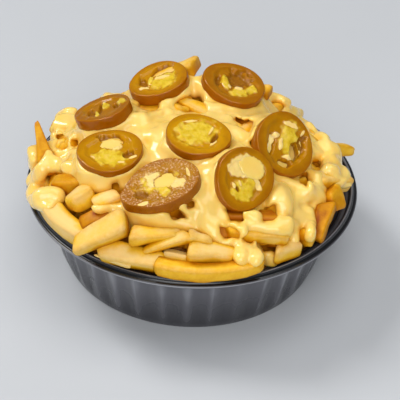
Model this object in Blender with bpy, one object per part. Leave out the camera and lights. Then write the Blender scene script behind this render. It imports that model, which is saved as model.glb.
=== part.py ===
"""Cheese fries in a round fluted takeaway bowl.

A black plastic bowl with a fluted wall and a flanged rim is heaped with fries.
Cheese sauce lies over the heap and runs down between the fries in thick strands,
and pickled pepper rings lie on the sauce.

Lengths below are millimetres and angles are degrees. The origin is the centre of the
bowl's base, +Z is up and -Y is the front. Meshes are written in metres.
"""
import math
import random

import bmesh
import bpy
import numpy as np

MM = 0.001

# Bowl
RIM_RADIUS = 92.0
BASE_RADIUS = 72.0
BOWL_HEIGHT = 50.6
WALL_TOP_RADIUS = 82.0
WALL_TOP_Z = 42.0
WALL = 1.0
FLUTES = 36
FLUTE_DEPTH = 0.8
BOWL_SEGMENTS = 2 * FLUTES

# Heap: the packed core that the visible fries are fused to
CORE_RADIUS = 81.0
CORE_BASE_Z = 46.0
CORE_RISE = 38.0
CORE_ROUND = 2.5
CORE_SHOULDER = 0.65
CORE_SEGMENTS = 42
BOWL_CLEARANCE = 0.5

# Sauce
SAUCE_THICK = 4.4
SAUCE_EDGE = 2.0
SAUCE_BUMPS = 1.3
SAUCE_GAP = 0.6
SAUCE_SEGMENTS = 42
STRAND_SIDES = 6

# Gap kept between parts that touch
FIT_GAP = 0.35

# Vertices nearer than this are one vertex
WELD = 0.002

# Fries that lie in the open: start, end (x, y, z of the middle line) and width
OPEN_FRIES = {
    "rim_left": ((-77, -42, 58), (-52, -66, 54), 8.5),
    "over_rim": ((-30, -70, 70), (-58, -78, 54.5), 10.5),
    "front_pale": ((-46, -71, 50), (-18, -79, 50), 9.0),
    "front_long": ((-17, -79, 49), (38, -75, 47), 8.0),
    "front_shelf": ((-30, -68, 63), (-5, -71, 65), 8.0),
    "front_thin": ((-23, -77, 58), (1, -74, 66), 6.5),
    "front_thin_end": ((-1, -74, 66), (11, -75, 63), 6.5),
    "front_broad": ((0, -78, 62), (24, -79, 56), 10.5),
    "front_cream": ((-13, -77, 54), (7, -82, 52), 6.0),
    "left_stub": ((-65, -50, 66), (-48, -54, 70), 10.5),
    "left_wedge": ((-74, -33, 62), (-54, -38, 68), 9.5),
    "left_dark": ((-57, -59, 59), (-40, -66, 65), 9.0),
    "right_block": ((44, -69, 49), (57, -62, 48), 10.0),
    "right_upright": ((70, -40, 60), (66, -51, 47), 9.5),
    "right_cut": ((73, -28, 64), (78, -35, 55), 11.0),
    "right_square": ((66, -25, 66), (85, -12, 58), 9.5),
    "right_golden": ((32, -67, 62), (51, -60, 62), 9.0),
    "right_tip": ((70, 9, 64), (91, 21, 56.5), 10.0),
    "left_spike": ((-76, -28, 60), (-87, 14, 70), 5.0),
    "crest_square": ((-24, 36, 83), (-4, 48, 93), 9.0),
    "crest_right": ((26, 36, 82), (42, 35, 83), 8.0),
    "crest_low": ((40, 34, 74), (54, 36, 73), 8.0),
    "left_coated_low": ((-64, 8, 62), (-93, -4, 58), 9.5),
    "left_coated_high": ((-62, 26, 66), (-86, 30, 62), 9.5),
}

# Fries laid by rule round the back and the sides
BACK_FRIES = 21
BACK_FROM = -8.0
BACK_TO = 196.0
FRY_WIDTH = 9.0
FRY_SEED = 7

# Pepper rings: centre of the top face, tilt, azimuth of the tilt, long and short radius,
# turn of the long axis, thickness, and the hole as (along, across, radius along, across)
PEPPERS = {
    "jalapeno_1": ((-50.5, 6, 87.5), 22, 158, 16.6, 15.2, -35, 7.5, None),
    "jalapeno_2": ((-21.5, 32, 91.5), 16, 195, 17.0, 16.0, 20, 7.2, None),
    "jalapeno_3": ((21.5, 31, 91.5), 16, 330, 18.0, 17.0, 0, 7.2, None),
    "jalapeno_4": ((2, -23.5, 93.0), 7, 290, 17.4, 16.2, -20, 7.2, None),
    "jalapeno_5": ((48.5, -19.5, 86.5), 39, 315, 18.8, 17.2, 80, 7.5, (-2.0, -6.0, 6.0, 3.4)),
    "jalapeno_6": ((-15.5, -55.5, 84.5), 17, 215, 19.5, 16.2, 20, 7.5, (1.5, 0.5, 6.0, 5.0)),
    "jalapeno_7": ((27, -50.5, 85.0), 47, 300, 17.2, 15.6, 60, 7.5, (7.0, 0.0, 5.0, 6.5)),
    "jalapeno_8": ((-43.5, -31.5, 86.0), 9, 240, 17.4, 16.2, 0, 6.6, (0.0, 5.0, 5.6, 3.6)),
}
PEPPER_SEGMENTS = 16
PEPPER_FLESH = 4.2
PEPPER_RECESS = 1.2

# Sauce strands that hang over the fries: points of the middle line and radius
STRANDS = {
    "left_rope": (((-78, -20, 66), (-66, -24, 70), (-56, -33, 72), (-50, -42, 71)), 3.2),
    "left_blob": (((-52, -40, 71), (-44, -47, 71)), 5.0),
    "slice_rope": (((-54, -48, 69), (-38, -60, 71), (-22, -66, 71), (0, -68, 70)), 3.2),
    "front_fold": (((-4, -64, 73), (4, -70, 70), (12, -76, 64)), 5.0),
    "front_run": (((12, -76, 64), (24, -77, 60), (33, -74, 56)), 3.6),
    "front_drip": (((34, -74, 56), (42, -73, 52)), 5.4),
    "short_rope": (((16, -66, 71), (25, -71, 66), (27, -76, 60)), 2.4),
    "right_fold": (((48, -52, 70), (56, -50, 66), (60, -44, 68)), 5.4),
    "right_drip": (((60, -48, 68), (63, -53, 60), (62, -56, 54)), 2.8),
    "left_coat_low": (((-64, 8, 66), (-78, 2, 63), (-90, -3, 60)), 5.6),
    "left_coat_high": (((-62, 24, 70), (-74, 27, 67), (-84, 29, 64)), 5.6),
    "right_coat": (((62, 14, 68), (72, 4, 64), (78, -8, 62)), 5.0),
    "back_run": (((10, 62, 70), (14, 72, 62), (12, 79, 55)), 3.6),
    "back_left_run": (((-44, 50, 70), (-52, 58, 62), (-54, 63, 56)), 3.4),
}

COLOURS = {
    "bowl": ("#17181B", 0.25),
    "fries": ("#E3AE45", 0.55),
    "cheese_sauce": ("#F2C765", 0.25),
    "jalapeno": ("#9A7A12", 0.2),
}


def clear_scene():
    """Remove whatever the open file holds."""
    for obj in list(bpy.data.objects):
        bpy.data.objects.remove(obj, do_unlink=True)


def to_linear(hex_colour):
    """sRGB hex to linear RGBA."""
    parts = [int(hex_colour[i:i + 2], 16) / 255 for i in (1, 3, 5)]
    return [c / 12.92 if c <= 0.04045 else ((c + 0.055) / 1.055) ** 2.4 for c in parts] + [1.0]


def make_material(name):
    colour, roughness = COLOURS[name]
    material = bpy.data.materials.new(name)
    material.use_nodes = True
    shader = material.node_tree.nodes["Principled BSDF"]
    shader.inputs["Base Color"].default_value = to_linear(colour)
    shader.inputs["Roughness"].default_value = roughness
    return material


def unit(vector):
    return vector / np.linalg.norm(vector)


# ---------------------------------------------------------------- meshes

def loft(rings, closed_section=False):
    """Vertices and faces of a surface through rings of equal size.

    Neighbouring rings are joined by quads. An open section is capped at both ends; a closed
    section joins its last ring to its first, as on a solid ring.
    """
    rings = np.asarray(rings, dtype=float)
    count, sides = rings.shape[:2]
    vertices = rings.reshape(-1, 3)
    steps = count if closed_section else count - 1
    faces = []
    for i in range(steps):
        low = i * sides
        high = ((i + 1) % count) * sides
        for j in range(sides):
            k = (j + 1) % sides
            faces.append((low + j, low + k, high + k, high + j))
    if not closed_section:
        faces.append(tuple(range(sides))[::-1])
        faces.append(tuple(range((count - 1) * sides, count * sides)))
    return vertices, faces


def solid(name, vertices, faces, material=None):
    """A named mesh object, in metres, made of triangles that face outwards."""
    mesh = bpy.data.meshes.new(name)
    mesh.from_pydata([tuple(v) for v in np.asarray(vertices) * MM], [], faces)
    build = bmesh.new()
    build.from_mesh(mesh)
    bmesh.ops.triangulate(build, faces=build.faces)
    bmesh.ops.recalc_face_normals(build, faces=build.faces)
    if build.calc_volume(signed=True) < 0:
        bmesh.ops.reverse_faces(build, faces=build.faces)
    build.to_mesh(mesh)
    build.free()
    obj = bpy.data.objects.new(name, mesh)
    bpy.context.scene.collection.objects.link(obj)
    if material:
        mesh.materials.append(material)
    return obj


def is_closed(build):
    return all(edge.is_manifold for edge in build.edges)


def combine(obj, others, operation):
    """Apply one Boolean with a collection of other solids, then remove those solids.

    The exact solver goes first. Where it leaves an open edge, the manifold solver does it.
    """
    group = bpy.data.collections.new(obj.name + "_" + operation.lower())
    bpy.context.scene.collection.children.link(group)
    for other in others:
        bpy.context.scene.collection.objects.unlink(other)
        group.objects.link(other)
    boolean = obj.modifiers.new("combine", "BOOLEAN")
    boolean.operation = operation
    boolean.operand_type = "COLLECTION"
    boolean.collection = group
    for solver in ("EXACT", "MANIFOLD"):
        boolean.solver = solver
        view = bpy.context.evaluated_depsgraph_get()
        result = bpy.data.meshes.new_from_object(obj.evaluated_get(view))
        build = bmesh.new()
        build.from_mesh(result)
        closed = is_closed(build)
        build.free()
        if closed:
            break
    obj.modifiers.clear()
    obj.data = result
    for other in others:
        bpy.data.objects.remove(other, do_unlink=True)
    bpy.data.collections.remove(group)


def join_flat_facets(obj):
    """Merge facets that lie in one plane, as far as the surface stays closed."""
    for angle in (2.0, 1.0, 0.3, 0.1):
        build = bmesh.new()
        build.from_mesh(obj.data)
        bmesh.ops.remove_doubles(build, verts=build.verts, dist=WELD * MM)
        bmesh.ops.dissolve_limit(build, angle_limit=math.radians(angle), verts=build.verts,
                                 edges=build.edges)
        bmesh.ops.triangulate(build, faces=build.faces)
        bmesh.ops.dissolve_degenerate(build, edges=build.edges, dist=WELD * MM)
        bmesh.ops.triangulate(build, faces=build.faces)
        closed = is_closed(build)
        if closed:
            build.to_mesh(obj.data)
        build.free()
        if closed:
            return


def keep_main_body(obj):
    """Keep the largest closed shell and drop scraps and sealed hollows."""
    build = bmesh.new()
    build.from_mesh(obj.data)
    unseen = set(build.verts)
    shells = []
    while unseen:
        front = [unseen.pop()]
        shell = set(front)
        while front:
            vertex = front.pop()
            for edge in vertex.link_edges:
                other = edge.other_vert(vertex)
                if other in unseen:
                    unseen.discard(other)
                    shell.add(other)
                    front.append(other)
        shells.append(shell)
    main_shell = max(shells, key=len)
    scraps = [v for shell in shells if shell is not main_shell for v in shell]
    bmesh.ops.delete(build, geom=scraps, context="VERTS")
    bmesh.ops.triangulate(build, faces=build.faces)
    build.to_mesh(obj.data)
    build.free()
    join_flat_facets(obj)


# ---------------------------------------------------------------- bowl

def wall_radius(z):
    """Middle radius of the bowl's outer wall at a height."""
    return BASE_RADIUS + (WALL_TOP_RADIUS - BASE_RADIUS) * z / WALL_TOP_Z


def bowl_profile():
    """Half section of the bowl as (radius, height, share of the flutes), from the middle of
    the underside, up the outer wall, over the flange and bead, and down the inside."""
    bead = RIM_RADIUS - 4.4
    floor = 1.2
    return [
        (BASE_RADIUS - 1.6, 0.0, 0.0),
        (BASE_RADIUS, 1.4, 0.5),
        (wall_radius(6), 6.0, 1.0),
        (WALL_TOP_RADIUS, WALL_TOP_Z, 1.0),
        (WALL_TOP_RADIUS + 1.4, WALL_TOP_Z + 2.6, 0.2),
        (RIM_RADIUS - 4.8, 47.6, 0.0),
        (RIM_RADIUS - 0.5, 45.7, 0.0),
        (RIM_RADIUS, 46.3, 0.0),
        (RIM_RADIUS - 2.1, 48.6, 0.0),
        (bead + 1.2, BOWL_HEIGHT - 0.5, 0.0),
        (bead, BOWL_HEIGHT, 0.0),
        (bead - 1.3, BOWL_HEIGHT - 0.8, 0.0),
        (bead - 1.7, 46.6, 0.0),
        (WALL_TOP_RADIUS + 1.2, 45.4, 0.3),
        (WALL_TOP_RADIUS - WALL, WALL_TOP_Z + 0.4, 1.0),
        (wall_radius(4) - WALL, 4.0, 0.8),
        (BASE_RADIUS - 2.0, floor, 0.0),
    ]


def turn_about_z(profile, segments):
    """Rings of a turned shape whose radius swings with the flutes."""
    angle = np.arange(segments) * 2 * math.pi / segments
    rings = []
    for radius, height, flute in profile:
        reach = radius + flute * FLUTE_DEPTH * np.cos(FLUTES * angle)
        rings.append(np.stack([reach * np.cos(angle), reach * np.sin(angle),
                               np.full(segments, height)], axis=1))
    return rings


def make_bowl(material):
    vertices, faces = loft(turn_about_z(bowl_profile(), BOWL_SEGMENTS))
    return solid("bowl", vertices, faces, material)


def bowl_cutter():
    """The space that the bowl and its clearance take, as a plain turned ring."""
    gap = BOWL_CLEARANCE
    inner_foot = BASE_RADIUS - WALL - FLUTE_DEPTH - gap
    inner_top = WALL_TOP_RADIUS - WALL - FLUTE_DEPTH - gap
    bead = RIM_RADIUS - 4.4
    outside = RIM_RADIUS + 8.0
    section = [
        (inner_foot - 1.4, -2.0, 0.0),
        (inner_foot, 4.0, 0.0),
        (inner_top, WALL_TOP_Z + 0.6, 0.0),
        (WALL_TOP_RADIUS + 0.6, 45.4 + gap, 0.0),
        (bead - 1.7 - gap, 46.6 + gap, 0.0),
        (bead - 1.3 - gap, BOWL_HEIGHT - 0.6, 0.0),
        (bead - 0.6, BOWL_HEIGHT + gap, 0.0),
        (bead + 1.6, BOWL_HEIGHT + gap * 0.6, 0.0),
        (RIM_RADIUS + gap, 46.8, 0.0),
        (outside, 44.0, 0.0),
        (outside, -2.0, 0.0),
    ]
    vertices, faces = loft(turn_about_z(section, BOWL_SEGMENTS), closed_section=True)
    return solid("bowl_cutter", vertices, faces)


# ---------------------------------------------------------------- heap

def core_height(radius):
    """Height of the bare heap at a distance from the middle: a dome with a steep edge."""
    reach = np.clip(1 - (np.asarray(radius) / CORE_RADIUS) ** CORE_ROUND, 0, 1)
    return CORE_BASE_Z + CORE_RISE * reach ** CORE_SHOULDER


def core_point(radius, angle, offset):
    """A point above the bare heap, offset along the dome's normal."""
    radius = np.asarray(radius, dtype=float)
    step = 0.25
    slope = (core_height(radius + step) - core_height(np.maximum(radius - step, 0))) / (2 * step)
    length = np.sqrt(1 + slope ** 2)
    reach = radius - offset * slope / length
    height = core_height(radius) + offset / length
    return np.stack([reach * np.cos(angle), reach * np.sin(angle), height], axis=-1)


def core_rings(offset=0.0):
    """Rings of the core from its foot in the bowl to near its top."""
    foot = BASE_RADIUS - WALL - FLUTE_DEPTH - BOWL_CLEARANCE
    wall = WALL_TOP_RADIUS - WALL - FLUTE_DEPTH - BOWL_CLEARANCE
    angle = np.arange(CORE_SEGMENTS) * 2 * math.pi / CORE_SEGMENTS
    rings = []
    for radius, height in ((foot - 1.6, 1.7), (foot, 4.5), (wall + offset, WALL_TOP_Z)):
        rings.append(np.stack([radius * np.cos(angle), radius * np.sin(angle),
                               np.full(CORE_SEGMENTS, height)], axis=1))
    for share in (0.985, 0.95, 0.90, 0.82, 0.72, 0.60, 0.46, 0.31, 0.15):
        rings.append(core_point(np.full(CORE_SEGMENTS, share * CORE_RADIUS), angle, offset))
    return rings


def fry_rings(start, end, width, roll=0.0):
    """Rings of one fry: a square section with cut corners, drawn in a little at both ends."""
    start = np.asarray(start, dtype=float)
    end = np.asarray(end, dtype=float)
    along = unit(end - start)
    side = unit(np.cross(along, (0.0, 0.0, 1.0)))
    up = np.cross(side, along)
    corner = 0.2 * width
    half = 0.5 * width
    section = np.array([(half, -half + corner), (half, half - corner), (half - corner, half),
                        (-half + corner, half), (-half, half - corner), (-half, -half + corner),
                        (-half + corner, -half), (half - corner, -half)])
    turn = math.radians(roll)
    spin = np.array([[math.cos(turn), -math.sin(turn)], [math.sin(turn), math.cos(turn)]])
    section = section @ spin.T
    length = np.linalg.norm(end - start)
    lip = min(0.14, 1.2 / length)
    rings = []
    for share, size in ((0.0, 0.78), (lip, 1.0), (1 - lip, 1.0), (1.0, 0.78)):
        middle = start + share * (end - start)
        rings.append(middle + size * (section[:, :1] * side + section[:, 1:] * up))
    return rings


def back_fries():
    """Fries laid evenly round the back and the sides by rule, some flat along the rim and some
    leaning up the heap, with a seeded draw for heading, length and width."""
    draw = random.Random(FRY_SEED)
    fries = []
    for index in range(BACK_FRIES):
        share = (index + 0.5) / BACK_FRIES
        angle = math.radians(BACK_FROM + share * (BACK_TO - BACK_FROM) + draw.uniform(-3, 3))
        row = index % 3
        radius = (80.5, 75.0, 68.0)[row] + draw.uniform(-1.5, 1.5)
        lift = (54.0, 62.5, 69.5)[row] + draw.uniform(-1.0, 1.5)
        heading = angle + math.radians(90 + draw.choice((-1, 1)) * draw.uniform(5, 55 - 10 * row))
        length = draw.uniform(24, 44)
        climb = draw.uniform(-0.12, 0.12)
        middle = np.array([radius * math.cos(angle), radius * math.sin(angle), lift])
        along = unit(np.array([math.cos(heading), math.sin(heading), climb]))
        inward = unit(np.array([-math.cos(angle), -math.sin(angle), 0.0]))
        sag = inward * (length / 2) ** 2 / (2 * radius)
        start = middle - along * length / 2 + sag
        end = middle + along * length / 2 + sag
        width = FRY_WIDTH * draw.uniform(0.85, 1.15)
        fries.append((start, end, width, draw.uniform(0, 90)))
    return fries


def make_fries(material, sauce_cutters, pepper_cutters):
    """The heap: the visible fries are joined, cut back from the sauce and fused to the core."""
    draw = random.Random(FRY_SEED)
    fries = [solid("fry", *loft(fry_rings(start, end, width, draw.uniform(-25, 25))))
             for start, end, width in OPEN_FRIES.values()]
    fries += [solid("fry", *loft(fry_rings(*fry))) for fry in back_fries()]
    loose = fries[0]
    combine(loose, fries[1:], "UNION")
    combine(loose, sauce_cutters, "DIFFERENCE")
    core = solid("fries", *loft(core_rings()), material)
    combine(core, [loose], "UNION")
    combine(core, pepper_cutters + [bowl_cutter()], "DIFFERENCE")
    core.data.materials.clear()
    core.data.materials.append(material)
    keep_main_body(core)
    return core


# ---------------------------------------------------------------- pepper rings

def pepper_frame(tilt, azimuth, turn):
    """Directions along the long axis, across it and out of the top face."""
    lean = math.radians(tilt)
    way = math.radians(azimuth)
    normal = np.array([math.sin(lean) * math.cos(way), math.sin(lean) * math.sin(way),
                       math.cos(lean)])
    level = unit(np.array([1.0, 0.0, 0.0]) - normal[0] * normal)
    other = np.cross(normal, level)
    spin = math.radians(turn)
    along = math.cos(spin) * level + math.sin(spin) * other
    return along, np.cross(normal, along), normal


def pepper_outline(name, long_radius, short_radius, shrink=0.0):
    """Outline of a ring in its own plane: an oval with three soft lobes. The sixth ring is
    drawn out to a point at one end."""
    angle = np.arange(PEPPER_SEGMENTS) * 2 * math.pi / PEPPER_SEGMENTS
    phase = int(name[-1]) * 1.3
    lobes = 1 + 0.025 * np.cos(3 * angle + phase)
    if name == "jalapeno_6":
        lobes = lobes + 0.16 * np.exp(-((angle - math.pi) / 0.42) ** 2)
    along = (long_radius - shrink) * lobes * np.cos(angle)
    across = (short_radius - shrink) * lobes * np.sin(angle)
    return along, across


def make_pepper(name, material):
    """A ring of flesh round a lower middle of seed core, with a hole through it where the
    photographed slice has one."""
    centre, tilt, azimuth, long_radius, short_radius, turn, thick, hole = PEPPERS[name]
    along, across, normal = pepper_frame(tilt, azimuth, turn)

    def ring(shrink, depth):
        u, v = pepper_outline(name, long_radius, short_radius, shrink)
        return (np.asarray(centre) + u[:, None] * along + v[:, None] * across
                - depth * normal)

    def hole_ring(depth):
        mid_u, mid_v, reach_u, reach_v = hole
        angle = np.arange(PEPPER_SEGMENTS) * 2 * math.pi / PEPPER_SEGMENTS
        u = mid_u + reach_u * np.cos(angle)
        v = mid_v + reach_v * np.sin(angle)
        return (np.asarray(centre) + u[:, None] * along + v[:, None] * across
                - depth * normal)

    low = thick - PEPPER_RECESS
    outside = [ring(PEPPER_FLESH + 0.8, low), ring(PEPPER_FLESH, thick), ring(0.8, thick),
               ring(0.0, 0.5 * thick), ring(0.6, 0.0), ring(PEPPER_FLESH, 0.0),
               ring(PEPPER_FLESH + 0.8, PEPPER_RECESS)]
    if hole:
        rings = outside + [hole_ring(PEPPER_RECESS), hole_ring(low)]
        return solid(name, *loft(rings, closed_section=True), material)
    return solid(name, *loft(outside), material)


def pepper_cutter(name):
    """The space of one ring and the gap round it, without its hole."""
    centre, tilt, azimuth, long_radius, short_radius, turn, thick, _ = PEPPERS[name]
    along, across, normal = pepper_frame(tilt, azimuth, turn)
    rings = []
    for shrink, depth in ((0.3, thick + FIT_GAP), (-FIT_GAP, thick - 0.6),
                          (-FIT_GAP - 0.1, 0.5 * thick), (-FIT_GAP, 0.4), (0.3, -FIT_GAP)):
        u, v = pepper_outline(name, long_radius, short_radius, shrink)
        rings.append(np.asarray(centre) + u[:, None] * along + v[:, None] * across
                     - depth * normal)
    return solid(name + "_cutter", *loft(rings))


# ---------------------------------------------------------------- sauce

def sauce_edge(angle):
    """How far from the middle the sauce reaches: nearly to the rim at the sides, less at the
    front and back, in uneven lobes."""
    return 68.5 + 7.5 * np.cos(2 * angle) + 2.2 * np.cos(7 * angle + 0.6) + 1.4 * np.cos(12 * angle)


def under_peppers(x, y, top):
    """Raise the sauce to the underside of each ring that leans off the heap."""
    for centre, tilt, azimuth, long_radius, short_radius, turn, thick, _ in PEPPERS.values():
        _, _, normal = pepper_frame(tilt, azimuth, turn)
        underside = np.asarray(centre) - (thick - 0.8) * normal
        plane = underside[2] - (normal[0] * (x - underside[0])
                                + normal[1] * (y - underside[1])) / normal[2]
        away = np.hypot(x - underside[0], y - underside[1])
        near = np.clip((short_radius - away) / 5.0, 0, 1)
        top = top + near * np.clip(plane - top, 0, 9.0)
    return top


def sauce_top(radius, angle, swell):
    """Points of the sauce's upper surface: the bare heap, the sauce's thickness, soft bumps
    where fries lie beneath, and fillets under the leaning rings."""
    edge = radius / sauce_edge(angle)
    x = radius * np.cos(angle)
    y = radius * np.sin(angle)
    bumps = (np.sin(x / 6.3 + 0.9 * np.sin(y / 9.0)) * np.sin(y / 5.7 + 1.1)
             + 0.6 * np.sin((x + y) / 8.5 + 2.0))
    body = SAUCE_THICK + SAUCE_BUMPS * bumps
    thick = np.where(edge > 0.999, SAUCE_EDGE, body * (1 - 0.25 * edge ** 8))
    points = core_point(radius, angle, SAUCE_GAP + thick + swell)
    inside = edge < 0.93
    raised = under_peppers(points[..., 0], points[..., 1], points[..., 2] - swell) + swell
    points[..., 2] = np.where(inside, raised, points[..., 2])
    return points


def sauce_shell(name, swell, depth):
    """A closed shell from a depth under the sauce, up over its edge and across its top."""
    angle = np.arange(SAUCE_SEGMENTS) * 2 * math.pi / SAUCE_SEGMENTS
    shares = (0.14, 0.30, 0.46, 0.61, 0.75, 0.87, 0.95, 1.0)
    edge = sauce_edge(angle) + swell
    lower = [core_point(share * edge, angle, depth) for share in shares]
    upper = [sauce_top(share * edge, angle, swell) for share in reversed(shares)]
    return solid(name, *loft(lower + upper))


def strand_rings(points, radius):
    """Rings of one strand with round ends along a smooth curve through its points."""
    points = np.asarray(points, dtype=float)
    knots = np.linspace(0, 1, len(points))
    shares = np.linspace(0, 1, 2 * len(points) - 1)
    line = np.stack([np.interp(shares, knots, points[:, i]) for i in range(3)], axis=1)
    smooth = line.copy()
    smooth[1:-1] = 0.5 * line[1:-1] + 0.25 * (line[:-2] + line[2:])
    ways = np.gradient(smooth, axis=0)
    ends = [(smooth[0] - unit(ways[0]) * radius * 0.7, 0.55, ways[0])]
    body = [(point, 1.0, way) for point, way in zip(smooth, ways)]
    ends_after = [(smooth[-1] + unit(ways[-1]) * radius * 0.7, 0.55, ways[-1])]
    angle = np.arange(STRAND_SIDES) * 2 * math.pi / STRAND_SIDES
    rings = []
    for middle, size, way in ends + body + ends_after:
        side = unit(np.cross(way, (0.0, 0.0, 1.0)))
        up = unit(np.cross(side, way))
        rings.append(middle + size * radius * (np.cos(angle)[:, None] * side
                                               + np.sin(angle)[:, None] * up))
    return rings


def strands(swell):
    return [solid("strand", *loft(strand_rings(points, radius + swell)))
            for points, radius in STRANDS.values()]


def sauce_cutters():
    """The sauce grown by the gap. It reaches below the core's surface, so that the fries are
    cut cleanly where the sauce lies on the core."""
    return [sauce_shell("sauce_cutter", FIT_GAP, -1.5)] + strands(FIT_GAP)


def make_sauce(material, cutters):
    """The sauce: its strands are cut free of the core and joined to the shell over it."""
    runs = strands(0.0)
    loose = runs[0]
    combine(loose, runs[1:], "UNION")
    combine(loose, [solid("core_cutter", *loft(core_rings(SAUCE_GAP - 0.2)))], "DIFFERENCE")
    sauce = sauce_shell("cheese_sauce", 0.0, SAUCE_GAP)
    combine(sauce, [loose], "UNION")
    combine(sauce, cutters + [bowl_cutter()], "DIFFERENCE")
    sauce.data.materials.clear()
    sauce.data.materials.append(material)
    keep_main_body(sauce)
    return sauce


# ---------------------------------------------------------------- the part

def smooth_round_parts(objects):
    for obj in objects:
        obj.data.shade_smooth()
        obj.data.set_sharp_from_angle(angle=math.radians(40))


def main():
    clear_scene()
    materials = {name: make_material(name) for name in COLOURS}
    root = bpy.data.objects.new("cheese_fries", None)
    bpy.context.scene.collection.objects.link(root)
    bowl = make_bowl(materials["bowl"])
    peppers = [make_pepper(name, materials["jalapeno"]) for name in PEPPERS]
    sauce = make_sauce(materials["cheese_sauce"], [pepper_cutter(name) for name in PEPPERS])
    fries = make_fries(materials["fries"], sauce_cutters(),
                       [pepper_cutter(name) for name in PEPPERS])
    parts = [bowl, fries, sauce] + peppers
    smooth_round_parts(parts)
    for obj in parts:
        obj.parent = root


main()
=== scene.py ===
import math

import bpy
import numpy as np
from mathutils import Matrix


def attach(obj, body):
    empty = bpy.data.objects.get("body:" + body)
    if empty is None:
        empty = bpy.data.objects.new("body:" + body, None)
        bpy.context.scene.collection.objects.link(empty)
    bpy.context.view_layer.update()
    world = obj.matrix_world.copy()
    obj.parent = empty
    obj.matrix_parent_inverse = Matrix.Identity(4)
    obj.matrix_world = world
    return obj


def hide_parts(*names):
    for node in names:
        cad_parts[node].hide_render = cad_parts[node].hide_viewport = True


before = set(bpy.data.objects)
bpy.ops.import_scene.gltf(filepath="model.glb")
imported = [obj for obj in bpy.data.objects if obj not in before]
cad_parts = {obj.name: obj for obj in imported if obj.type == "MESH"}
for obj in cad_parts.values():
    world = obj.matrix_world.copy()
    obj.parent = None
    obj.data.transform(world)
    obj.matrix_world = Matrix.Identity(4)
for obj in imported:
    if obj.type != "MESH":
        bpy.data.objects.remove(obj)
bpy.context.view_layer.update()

MM = 0.001

# Camera, as worked out from the rim and base circles in the photograph
CAMERA_TARGET = (0.0, 0.0, 46.1)
CAMERA_DISTANCE = 700.0
CAMERA_ELEVATION = 36.24
CAMERA_AIM = (4.8, 0.0, 31.79)
CAMERA_ROLL = 2.65
FOCAL_PIXELS = 1251.6
PICTURE = 400
SENSOR = 36.0

# Bowl, as in the part's source
RIM_RADIUS = 92.0
BASE_RADIUS = 72.0
BEAD_RADIUS = 89.0
BEAD_TOP = 48.8
BEAD_ROUND = 2.2
WALL_TOP_RADIUS = 82.0
WALL_TOP_Z = 42.0
WALL = 1.0
FLUTES = 36
FLUTE_DEPTH = 0.7
# How much of its third harmonic sharpens a flute, and up to how much painted sheen lightens
# some ridges
FLUTE_SHARPNESS = 0.12
RIDGE_SHEEN = 0.8
BOWL_SEGMENTS = 864
BOWL_RINGS = 80

# Heap under the fries, as in the part's source
CORE_RADIUS = 81.0
CORE_BASE_Z = 46.0
CORE_RISE = 38.0
CORE_ROUND = 2.5
CORE_SHOULDER = 0.65
CORE_SEGMENTS = 180
CORE_RINGS = 44
BOWL_CLEARANCE = 0.5
# Foot of the core in the bowl: how far in from the foot's edge, and the height
CORE_FOOT = ((3.0, 2.2), (0.5, 2.8), (0.0, 5.0))
CORE_WALL_GAP = 0.3
# How far the core sits below the heap's own height, its share of the width, and its tone, on
# the deep side as painted shade of the heap's inside
CORE_SINK = 3.0
CORE_SHRINK = 0.94
CORE_TONE = 0.65
# Rings over the dome: the outermost and the innermost as shares of the radius, and the power
# that crowds them towards the edge
CORE_SHARES = (0.985, 0.01)
CORE_CROWDING = 0.8

# Outline of the sauced heap: a little higher and wider than the bare one
DOME_RADIUS = 86.0
DOME_RISE = 41.5

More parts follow.
